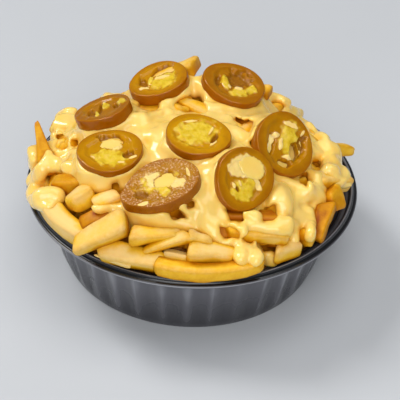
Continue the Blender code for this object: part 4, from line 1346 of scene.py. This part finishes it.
class Field:
    """Distances on an even grid of points, negative inside."""

    def __init__(self):
        """The grid's three axes, and how far each of its points is swayed along them."""
        self.low = np.array(SAUCE_LOW)
        self.step = SAUCE_STEP
        self.shape = tuple(np.ceil((np.array(SAUCE_HIGH) - self.low) / self.step).astype(int))
        self.axes = [self.low[i] + self.step * np.arange(self.shape[i], dtype=np.float32)
                     for i in range(3)]
        grid = np.meshgrid(*self.axes, indexing="ij")
        self.sway = [uneven("sway", *grid, more).astype(np.float32) for more in range(3)]

    def block(self, low, high):
        """The part of the grid between two corners: its slices and its coordinates."""
        first = [max(int((low[i] - self.low[i]) / self.step), 0) for i in range(3)]
        last = [min(int((high[i] - self.low[i]) / self.step) + 2, self.shape[i])
                for i in range(3)]
        cut = tuple(slice(a, max(b, a)) for a, b in zip(first, last))
        x, y, z = np.meshgrid(*[self.axes[i][cut[i]] for i in range(3)], indexing="ij")
        return cut, x, y, z

    def round_line(self, start, end, margin):
        """The part round a line, with each coordinate swayed a little, so that what is laid
        in the field is not quite straight or round."""
        cut, x, y, z = self.block(np.minimum(start, end) - margin,
                                  np.maximum(start, end) + margin)
        sway = [part[cut] for part in self.sway]
        return cut, x + sway[0], y + sway[1], z + sway[2]

    def sample(self, values, points):
        """Values between grid points, in proportion to the eight corners round each."""
        place = (np.asarray(points) - self.low) / self.step
        place = np.clip(place, 0, np.array(self.shape) - 1.001)
        cell = place.astype(int)
        part = place - cell
        total = 0.0
        for corner in np.ndindex(2, 2, 2):
            weight = np.prod(np.abs(1 - np.array(corner) - part), axis=-1)
            total = total + weight * values[tuple(np.moveaxis(cell + corner, -1, 0))]
        return total


def add_fry(field, values, fry):
    """Blend one fry's distance in: a box with rounded edges in the fry's own directions."""
    start, end, width, _, roll, taper = fry[:6]
    margin = SAUCE_BLEND + SAUCE_THICK + 5 + width
    cut, x, y, z = field.round_line(start, end, margin)
    if x.size == 0:
        return
    along, side, up = fry_axes(start, end, roll)
    length = np.linalg.norm(end - start)
    offset = offset_from((start + end) / 2, x, y, z)
    run = offset @ along
    share = np.clip(run / length + 0.5, 0, 1)
    half = width / 2 * (taper[0] + (taper[1] - taper[0]) * share)
    corner = FRY_CORNER * half
    gaps = np.stack([np.abs(run) - length / 2 + corner, np.abs(offset @ side) - half + corner,
                     np.abs(offset @ up) - half + corner], axis=-1)
    outside = np.linalg.norm(np.maximum(gaps, 0), axis=-1)
    distance = outside + np.minimum(gaps.max(axis=-1), 0) - corner
    values[cut] = blend_min(values[cut], distance, SAUCE_BLEND)


def add_strand(field, values, line, radii):
    """Blend in a strand: the distance to a chain of straight pieces less the radius, which
    runs evenly along each piece."""
    for start, end, first, last in zip(line[:-1], line[1:], radii[:-1], radii[1:]):
        cut, x, y, z = field.round_line(start, end, max(first, last) + STRAND_BLEND + 1)
        if x.size == 0:
            continue
        span = end - start
        offset = offset_from(start, x, y, z)
        share = np.clip((offset @ span) / max(span @ span, 1e-6), 0, 1)
        away = np.linalg.norm(offset - share[..., None] * span, axis=-1)
        distance = away - (first + (last - first) * share)
        values[cut] = blend_min(values[cut], distance, STRAND_BLEND)


def smooth_line(points, steps=6):
    """A finer line through points by Catmull-Rom curves."""
    points = np.asarray(points, dtype=float)
    padded = np.concatenate([2 * points[:1] - points[1:2], points,
                             2 * points[-1:] - points[-2:-1]])
    share = np.linspace(0, 1, steps, endpoint=False)[:, None]
    runs = []
    for a, b, c, d in zip(padded[:-3], padded[1:-2], padded[2:-1], padded[3:]):
        runs.append(0.5 * (2 * b + (c - a) * share + (2 * a - 5 * b + 4 * c - d) * share ** 2
                           + (3 * b - a - 3 * c + d) * share ** 3))
    return np.concatenate(runs + [points[-1:]])


def first_touch(away, limit):
    """Number of the first value in each row that is under the limit, and whether any is."""
    hit = away < limit
    return hit.argmax(axis=1), hit.any(axis=1)


def lay_strand(field, ground, strand):
    """Place a strand seen in the photograph: along each pixel's ray to the first point of
    the heap, smoothed over five points of the strand so that it bridges the gaps."""
    line = smooth_line(strand)
    rays = pixel_rays(line[:, :2])
    depths = np.arange(CAMERA_DISTANCE - RAY_SPAN[0], CAMERA_DISTANCE + RAY_SPAN[1], RAY_SPAN[2])
    points = EYE + depths[None, :, None] * rays[:, None, :]
    away = field.sample(ground, points)
    first, touches = first_touch(away, -STRAND_SINK * line[:, 2:3])
    depth = depths[np.where(touches, first, away.argmin(axis=1))]
    even = np.convolve(np.pad(depth, 2, mode="edge"), np.ones(5), mode="valid") / 5
    return EYE + np.minimum(depth + 1.0, even)[:, None] * rays, line[:, 2]


def pour_ribbons(field, ground):
    """Ribbons over the whole heap: each starts at a point of a sunflower spiral, wanders over
    the dome with a seeded turning rate, and sinks on to the first thing below it. Those that
    would leave the sauce or cross a ring are dropped."""
    draw = np.random.default_rng(RIBBON_SEED)
    ribbons = []
    for index in range(RIBBONS):
        radius, angle = spiral_place(index, RIBBONS, RIBBON_REACH)
        angle += draw.uniform(-RIBBON_SWAY, RIBBON_SWAY)
        place = np.array([radius * math.cos(angle), radius * math.sin(angle)])
        heading = draw.uniform(0, 2 * math.pi)
        bend = draw.normal(0, RIBBON_BEND)
        steps = int(draw.integers(*RIBBON_STEPS))
        size = draw.uniform(*RIBBON_RADIUS)
        line = []
        for _ in range(steps):
            if math.hypot(*place) > RIBBON_LIMIT:
                break
            line.append(dome_frame(*place))
            place = place + RIBBON_STEP * np.array([math.cos(heading), math.sin(heading)])
            heading += bend + draw.normal(0, RIBBON_WAVER)
        if len(line) < RIBBON_LEAST:
            continue
        points, outward = (np.array(part) for part in zip(*line))
        falls = np.arange(*RIBBON_FALLS)
        ray = points[:, None, :] + falls[None, :, None] * outward[:, None, :]
        first, touches = first_touch(field.sample(ground, ray), RIBBON_NEAR)
        fall = falls[np.where(touches, first, len(falls) // 2)]
        even = np.convolve(np.pad(fall, 1, mode="edge"), RIBBON_EVEN, mode="valid")
        points = points + np.maximum(even, fall - RIBBON_SINK)[:, None] * outward
        cover, _ = sauce_cover(*points.T)
        if cover.max() > -RIBBON_INSIDE or crosses_ring(points) or near_strand(points):
            continue
        taper = np.sin(np.linspace(RIBBON_TIP, math.pi - RIBBON_TIP, len(points))) ** 0.5
        ribbons.append((points, size * taper))
    return ribbons


def near_strand(points):
    """Whether any of the points is close in the photograph to a strand placed by name."""
    u, v = to_pixels(points)
    lines = np.concatenate([smooth_line(strand)[:, :2] for strand in STRANDS.values()])
    away = np.hypot(u[:, None] - lines[:, 0], v[:, None] - lines[:, 1])
    return points[0, 1] < STRAND_FRONT and away.min() < STRAND_CLEAR


def crosses_ring(points):
    """Whether any of the points is over or inside a pepper ring."""
    for ring in RINGS.values():
        u, v, w = ring.measure(points - ring.centre)
        share = np.hypot(u / (ring.long + 1), v / (ring.short + 1))
        if np.any((share < 1) & (np.abs(w) < RING_CLEAR)):
            return True
    return False


def outline_distance(u, v, outline):
    """Distance in pixels to a closed outline, negative inside."""
    corners = np.asarray(outline, dtype=np.float32)
    after = np.roll(corners, -1, axis=0)
    best = np.full(u.shape, 1e9, dtype=np.float32)
    odd = np.zeros(u.shape, dtype=bool)
    for a, b in zip(corners, after):
        span = b - a
        share = np.clip(((u - a[0]) * span[0] + (v - a[1]) * span[1]) / (span @ span), 0, 1)
        away = (u - a[0] - share * span[0]) ** 2 + (v - a[1] - share * span[1]) ** 2
        best = np.minimum(best, away)
        if a[1] != b[1]:
            crosses = ((a[1] > v) != (b[1] > v)) & (
                u < a[0] + (v - a[1]) / (b[1] - a[1]) * (b[0] - a[0]))
            odd ^= crosses
    return np.where(odd, -1, 1) * np.sqrt(best)


def sauce_cover(x, y, z):
    """Distance in millimetres to the sauce's edge, negative where there is sauce: the traced
    outline less its gaps where the heap faces the camera, and the lobed edge elsewhere."""
    u, v = to_pixels(np.stack([x, y, z], axis=-1))
    u = u + uneven("edge", x, y, z)
    v = v + uneven("edge", x, y, z, 1)
    seen = outline_distance(u, v, SAUCE_OUTLINE)
    gap = np.full(u.shape, 99.0, dtype=np.float32)
    for outline in SAUCE_GAPS:
        gap = np.minimum(gap, outline_distance(u, v, outline))
    seen = blend_max(seen, -gap, GAP_ROUND) / PIXELS_PER_MM
    gap = gap / PIXELS_PER_MM
    radius = np.hypot(x, y)
    unseen = radius - lobed(LOBED_EDGE, LOBES, np.arctan2(y, x)) - LOBED_MORE
    slope = heap_slope(dome_height, radius)
    facing = (slope * (x * FORWARD[0] + y * FORWARD[1]) / np.maximum(radius, 1e-3)
              - FORWARD[2]) / np.sqrt(1 + slope ** 2)
    share = step_between(*TRACED_FROM, facing)
    return unseen + (seen - unseen) * share, np.where(share > 0.5, gap, FAR)


def heap_distance(x, y, z):
    """Distance to the bare heap: the height over it, less where it is steep, and the distance
    outside its edge."""
    radius = np.hypot(x, y)
    slope = heap_slope(core_height, radius)
    over = z + back_fall(x, y) - core_height(radius)
    over = (over / np.sqrt(1 + np.minimum(slope ** 2, 9))).astype(np.float32)
    return np.maximum(over, radius - CORE_RADIUS)


def lay_film(ground, x, y, z):
    """Distance to the film of sauce on what is below it: as thick as its waves say, thin
    round the gaps, cut level a little over the dome and ended with a round lip at its edge.
    Also the distance to the nearest gap."""
    thick = SAUCE_THICK + uneven("film_broad", x, y, z) + uneven("film_fine", x, y, z)
    cover, gap = sauce_cover(x, y, z)
    thin = THIN_SHARE + (1 - THIN_SHARE) * step_between(0, THIN_REACH, gap)
    radius = np.hypot(x, y)
    lower = BACK_DROP * step_between(*DROP_BACK, y) * step_between(*DROP_OUT, radius)
    lower = lower + back_fall(x, y)
    above = z - np.maximum(dome_height(radius) + FILM_TOP - lower, COATED_TOP)
    coat = blend_max(ground - thick * thin, above, FILM_TOP_ROUND)
    return blend_max(coat, cover, SAUCE_LIP), gap


def make_sauce_field(field, bare, coated):
    """Distance to the sauce: a film over the blended fries within the sauce's edge, the
    strands laid on it, a bed of it under each ring, and nothing above the rings or in the
    bowl's wall. Also the distance to everything there is."""
    _, x, y, z = field.block(SAUCE_LOW, SAUCE_HIGH)
    core = heap_distance(x, y, z)
    ground = core.copy()
    for fry in coated:
        add_fry(field, ground, fry)
    film = np.full(field.shape, FAR, dtype=np.float32)
    near = np.abs(ground) < FILM_REACH
    film[near], gap = lay_film(ground[near], x[near], y[near], z[near])
    radius = np.hypot(x, y)
    surface = np.minimum(ground, np.hypot(radius - BEAD_RADIUS, z - BEAD_TOP + BEAD_ROUND)
                         - BEAD_ROUND)
    for fry in bare:
        add_fry(field, surface, fry)
    strands = pour_ribbons(field, surface)
    strands += [lay_strand(field, surface, strand) for strand in STRANDS.values()]
    strands += [(line[:, :3], line[:, 3]) for line in map(smooth_line, FAR_STRANDS.values())]
    for line, radii in strands:
        add_strand(field, film, line, radii)
    everything = np.minimum(surface, film)
    for ring in RINGS.values():
        lay_bed(field, film, ring)
    for ring in RINGS.values():
        clear_ring(field, film, everything, ring)
    film[near] = blend_max(film[near], -gap, GAP_LIP)
    room = wall_radius(np.minimum(z, WALL_TOP_Z)) - WALL - FLUTE_DEPTH - BOWL_CLEARANCE
    for more, low, high in RIM_ROOM:
        room = room + more * step_between(low, high, z)
    film = np.maximum(film, (radius - room).astype(np.float32))
    return np.maximum(film, -core - SAUCE_DEPTH), everything


def shut_in(field, everything, points, outward):
    """How shut in each point is, from 0 in the open to 1 in a crevice: 1 less the room there
    is a few millimetres out from it over the room there would be in the open. The fries and the
    sauce are given it as painted shade."""
    total = 0.0
    for reach in CREVICE_REACH:
        room = field.sample(everything, points + reach * outward) / reach
        total = total + (1 - step_between(0.0, OPEN_ROOM, room)) / len(CREVICE_REACH)
    return total


def round_ring(field, ring):
    """The field round a ring: its slices and coordinates, then the height over the cut face,
    the share of the way out to the outline and the distance from it, the distance from the
    hole as a share, and the sauce's unevenness."""
    reach = ring.long + RING_REACH
    cut, x, y, z = field.block(ring.centre - reach, ring.centre + reach)
    u, v, w = ring.measure(offset_from(ring.centre, x, y, z))
    share = np.sqrt((u / ring.long) ** 2 + (v / ring.short) ** 2)
    mid_u, mid_v, half_u, half_v = ring.hole or (0.0, 0.0, 1.0, 1.0)
    from_hole = np.sqrt(((u - mid_u) / (half_u + HOLE_MARGIN)) ** 2
                        + ((v - mid_v) / (half_v + HOLE_MARGIN)) ** 2) - 1
    wavy = uneven("under_ring", u, v, 0 * u, ring.number)
    return cut, (x, y, z), w, share, (share - 1) * ring.short, from_hole, wavy


def lay_bed(field, film, ring):
    """Fill the sauce up to a ring's underside: a column that flares downwards, stops inside
    the heap and, behind the ring, is cut to a low mound. In a hole it stays a little below
    the cut face."""
    cut, (x, y, z), w, _, aside, from_hole, wavy = round_ring(field, ring)
    behind = step_between(*MOUND_BEHIND, y - ring.centre[1])
    back = BACK_FLARE if ring.centre[1] > 0 else 2 * BED_FLARE
    flare = (BED_FLARE + (back - BED_FLARE) * behind) * np.clip(-w - ring.shows, 0, FLARE_DEPTH)
    wavy = wavy + behind * uneven("bed", x, y, z)
    bed = blend_max(aside - BED_LIP - wavy - flare, w + ring.shows + BED_DROP + wavy,
                    BED_ROUND)
    bed = np.where(w < -LOWEST_BED, FAR, bed)
    mound = z - dome_height(np.hypot(x, y)) - MOUND_RISE - MOUND_FRONT * (1 - behind)
    mound = mound + MOUND_BACK * back_fall(x, y) + uneven("mound", x, y, z)
    bed = blend_max(bed, mound + MOUND_FALL * np.clip(aside, 0, None), MOUND_ROUND)
    if ring.hole:
        bed = np.minimum(bed, np.maximum(from_hole * ring.hole[3], w + ring.sauce))
    film[cut] = blend_min(film[cut], bed, BED_BLEND)


def clear_ring(field, film, everything, ring):
    """Count a ring's flesh among everything there is, and clear the sauce off its face and
    off the part of its side that shows."""
    cut, _, w, share, aside, from_hole, wavy = round_ring(field, ring)
    body = np.maximum(aside, np.abs(w + ring.thick / 2) - ring.thick / 2)
    body = np.where((share < FLESH_FROM) | (from_hole < 0), FAR, body)
    everything[cut] = np.minimum(everything[cut], body)
    depth = np.where(from_hole < 0, ring.sauce, ring.shows + wavy)
    clear = blend_max(aside - CLEAR_MARGIN, -(w + depth), CLEAR_ROUND)
    film[cut] = blend_max(film[cut], -clear, CLEAR_BLEND)


def level_surface(field, values):
    """Mesh of the zero level: a vertex in each cell that the level crosses, at the mean of the
    crossings on its edges, and a quad across each grid edge that it crosses."""
    inside = values < 0
    shape = np.array(values.shape)
    corners = [inside[tuple(slice(i, size - 1 + i) for i, size in zip(corner, shape))]
               for corner in np.ndindex(2, 2, 2)]
    any_in = np.logical_or.reduce(corners)
    cells = np.argwhere(any_in & ~np.logical_and.reduce(corners))
    index = np.full(any_in.shape, -1, dtype=np.int64)
    index[tuple(cells.T)] = np.arange(len(cells))
    total = np.zeros((len(cells), 3))
    count = np.zeros(len(cells))
    quads = []
    for step, b, c in ((np.roll((1, 0, 0), axis + turn) for turn in range(3))
                       for axis in range(3)):
        for i, j in np.ndindex(2, 2):
            low = cells + i * b + j * c
            first = values[tuple(low.T)]
            last = values[tuple((low + step).T)]
            crossed = (first < 0) != (last < 0)
            share = np.where(crossed, first / np.where(crossed, first - last, 1), 0)
            total[crossed] += (low + share[:, None] * step)[crossed]
            count[crossed] += 1
        ahead = inside[tuple(slice(i, None) for i in step)]
        first = inside[tuple(slice(0, size - i) for i, size in zip(step, shape))]
        edges = np.argwhere(first != ahead)
        quad = np.stack([index[tuple((edges + shift).T)] for shift in (-b - c, -c, 0 * b, -b)],
                        axis=1)
        shut = ~first[tuple(edges.T)]
        quad[shut] = quad[shut][:, ::-1]
        quads.append(quad)
    return field.low + field.step * total / count[:, None], np.concatenate(quads)


def settle(field, values, vertices):
    """Move vertices on to the zero level along its slope, and give the slope's direction."""
    for _ in range(2):
        here = field.sample(values, vertices)
        slope = np.stack([field.sample(values, vertices + d) - field.sample(values, vertices - d)
                          for d in 0.5 * np.eye(3)], axis=1)
        size = np.maximum((slope ** 2).sum(axis=1), 0.05)
        move = -(here / size)[:, None] * slope
        vertices = vertices + np.clip(move, -0.5, 0.5)
    return vertices, slope / np.sqrt(size)[:, None]


def keep_large_bodies(vertices, quads):
    """Which vertices are in a large body, and the quads between them: vertices share the
    lowest number that they can reach, and a number that few share is a loose drop."""
    label = np.arange(len(vertices))
    while True:
        low = label[quads].min(axis=1)
        new = label.copy()
        for corner in range(4):
            np.minimum.at(new, quads[:, corner], low)
        new = new[new]
        if np.array_equal(new, label):
            break
        label = new
    sizes = np.bincount(label, minlength=len(vertices))
    keep = sizes[label] >= LEAST_DROP
    number = np.cumsum(keep) - 1
    return keep, number[quads[keep[quads[:, 0]]]]


def make_sauce(field, values, everything):
    """The sauce as a mesh of its field's zero level, closed at the grid's ends, with how shut
    in each point is, as its painted shade."""
    for axis in range(3):
        np.moveaxis(values, axis, 0)[[0, -1]] = FAR
    vertices, quads = level_surface(field, values)
    vertices, outward = settle(field, values, vertices)
    # Painted shade in the sauce's folds and crevices
    fold = shut_in(field, everything, vertices, outward)
    keep, quads = keep_large_bodies(vertices, quads)
    return make_piece("cheese_sauce_coat", vertices[keep], [quads], melted_cheese(),
                      {"fold": fold[keep]})


# ---------------------------------------------------------------- pepper rings

def pepper_outline(ring, shrink, angle):
    """Outline of a ring in its own plane: an oval with three soft lobes. The sixth ring is
    drawn out to a point at one end."""
    lobes = 1 + RING_LOBES * np.cos(3 * angle + ring.number * 1.3)
    if ring.name == TORN:
        lobes = lobes + POINT_REACH * np.exp(-((angle - math.pi) / POINT_WIDTH) ** 2)
    return ((ring.long - shrink) * lobes * np.cos(angle),
            (ring.short - shrink) * lobes * np.sin(angle))


def face_relief(ring, u, v):
    """Height of the cut face and how much of each tissue shows: flesh stands level round a
    recessed middle, with hollows, seed core and caught sauce as soft ovals placed by the
    photograph's pixels."""
    angle = np.arctan2(v / ring.short, u / ring.long)
    wall = 1 + 0.06 * np.cos(3 * angle + ring.number * 1.9 + 0.6) + 0.02 * np.cos(11 * angle)
    share = np.sqrt((u / (ring.long - PEPPER_FLESH)) ** 2
                    + (v / (ring.short - PEPPER_FLESH)) ** 2) / wall
    level = (u, v, 0 * u, ring.number)
    lumps = uneven("lumps", *level)
    ragged = uneven("torn_border", *level) + lumps
    height = -PEPPER_RECESS * (1 - step_between(*RECESS_EDGE, share)) + uneven("face", *level)
    marks = {tissue: np.zeros_like(u) for tissue in TISSUES}
    pixel_u, pixel_v = to_pixels(ring.place(u, v))
    for kind, mid_u, mid_v, half_u, half_v, turn in FACE_DETAILS[ring.name]:
        spin = math.radians(turn)
        across = (pixel_u - mid_u) * math.cos(spin) + (pixel_v - mid_v) * math.sin(spin)
        down = -(pixel_u - mid_u) * math.sin(spin) + (pixel_v - mid_v) * math.cos(spin)
        away = np.sqrt((across / half_u) ** 2 + (down / half_v) ** 2) + ragged
        amount = 1 - step_between(*MARK_EDGE, away)
        height = height + (RELIEF[kind] + MARK_LUMPS * lumps) * amount
        for other in RELIEF:
            marks[other] = marks[other] * (1 - amount)
        marks[kind] = np.maximum(marks[kind], amount)
    if ring.name == TORN:
        height = height + TORN_LUMPS * lumps
    darker = DARK_RISE * step_between(*DARK_EDGE, share)
    marks["outer"] = PEPPER_BROWN[ring.name] + darker + DARK_BASE
    return np.minimum(height, FACE_TOP), marks


def make_pepper(ring, material):
    """One ring, as a grid whose section runs from the hole (or the middle) out over the cut
    face, down the skin and back under. A face point is (1 - s) x hole edge + s x outline."""
    angle = turn_angles(PEPPER_SEGMENTS)
    ragged = lobed(1.0, HOLE_LOBES, angle)
    mid_u, mid_v, half_u, half_v = ring.hole or NO_HOLE
    hole_u = mid_u + half_u * ragged * np.cos(angle)
    hole_v = mid_v + half_v * ragged * np.sin(angle)
    rows, tissues = [], []

    def add_face(shares, shrink, base, relief):
        """Rings between the hole and the outline, raised by the relief. Tissues show on the
        cut face alone."""
        out_u, out_v = pepper_outline(ring, shrink, angle)
        u = (1 - shares[:, None]) * hole_u + shares[:, None] * out_u
        v = (1 - shares[:, None]) * hole_v + shares[:, None] * out_v
        height, marks = face_relief(ring, u, v)
        rows.append(ring.place(u, v, base + height * relief))
        tissues.append({mark: value * (relief > 0) for mark, value in marks.items()})

    def add_row(u, v, depth, **shares):
        """One ring of points at a depth, all of one mix of tissues."""
        rows.append(ring.place(u, v, -depth)[None])
        tissues.append({tissue: np.full((1, PEPPER_SEGMENTS), shares.get(tissue, 0.0))
                        for tissue in TISSUES})

    add_face(np.linspace(0, 1, PEPPER_FACE_RINGS) ** 0.9, FACE_INSET, 0.0, 1.0)
    middle = [(0.0, share * ring.thick, 1.0) for share in SIDE_MIDDLE]
    below = [(shrink, ring.thick - height, skin) for shrink, height, skin in SIDE_BELOW]
    for shrink, depth, skin in [*SIDE_ABOVE, *middle, *below]:
        add_row(*pepper_outline(ring, shrink, angle), depth, outer=SIDE_DARK, skin=skin)
    add_face(np.linspace(1, 0, UNDERSIDE_RINGS), UNDERSIDE_INSET, -ring.thick, UNDERSIDE_RELIEF)
    if ring.hole:
        for depth in np.linspace(ring.thick - HOLE_ENDS[0], HOLE_ENDS[1], HOLE_ROWS):
            waist = 1 + HOLE_WAIST * math.sin(math.pi * depth / ring.thick)
            add_row(mid_u + (hole_u - mid_u) / waist, mid_v + (hole_v - mid_v) / waist, depth,
                    hollow=HOLE_HOLLOW)
    points = np.concatenate(rows)
    marks = {mark: np.concatenate([part[mark] for part in tissues]) for mark in TISSUES}
    faces = grid_faces(len(points), PEPPER_SEGMENTS, closed=bool(ring.hole))
    return make_piece(ring.name + "_ring", points.reshape(-1, 3),
                      [group[:, ::-1] for group in faces], material, marks)


# ---------------------------------------------------------------- setting

def make_floor():
    """A flat sheet that is finer near the bowl: each line is at half x share squared."""
    spread = np.linspace(-1, 1, FLOOR_LINES)
    line = np.sign(spread) * spread ** 2 * FLOOR_HALF
    x, y = np.meshgrid(line, line, indexing="ij")
    row = np.arange(FLOOR_LINES - 1)
    row = row[:, None] * FLOOR_LINES + row
    quads = np.stack([row, row + FLOOR_LINES, row + FLOOR_LINES + 1, row + 1], axis=-1)
    floor = make_piece("floor", np.stack([x, y, 0 * x], axis=-1).reshape(-1, 3),
                       [quads.reshape(-1, 4)], painted_board())


def add_softbox(name, place, size, power, colour):
    """A square area light that faces the food."""
    data = bpy.data.lights.new(name, "AREA")
    data.shape = "SQUARE"
    data.size = size
    data.energy = power
    data.color = colour
    light = bpy.data.objects.new(name, data)
    place = np.array(place, dtype=float)
    back = unit(place - np.array(LIGHT_TARGET))
    right = unit(np.cross((0, 0, 1), back))
    light.matrix_world = axes_matrix(right, np.cross(back, right), back, place)
    bpy.context.scene.collection.objects.link(light)


def light_scene():
    """Plain soft studio light: a dim cool surround and three softboxes."""
    scene = bpy.context.scene
    scene.view_settings.view_transform = "Standard"
    scene.view_settings.look = "None"
    world = bpy.data.worlds.new("studio")
    world.use_nodes = True
    set_inputs(world.node_tree, world.node_tree.nodes["Background"],
               {"Color": SURROUND, "Strength": SURROUND_STRENGTH})
    scene.world = world
    for name, light in SOFTBOXES.items():
        add_softbox(name, *light)


def main():
    """Make the setting and every piece, attach each piece to the root body and hide the
    imported part that it stands for.
    """
    make_camera()
    light_scene()
    make_floor()
    bowl = make_bowl()
    bare, coated = named_fries()
    coated = heap_fries() + edge_fries() + coated
    field = Field()
    values, everything = make_sauce_field(field, bare, coated)
    sauce = make_sauce(field, values, everything)
    heap = make_fries(coated + bare, field, everything)
    plain = pickled_pepper("pickled_pepper", False)
    torn = pickled_pepper("pickled_pepper_torn", True)
    rings = {name: make_pepper(ring, torn if name == TORN else plain)
             for name, ring in RINGS.items()}
    for piece, node, slot in ((bowl, "bowl", "bowl"), (heap, "fries", "fries"),
                              (sauce, "cheese_sauce", "cheese_sauce")):
        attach(piece, "root")
        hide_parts(node)
    for name, piece in rings.items():
        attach(piece, "root")
        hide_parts(name)


main()
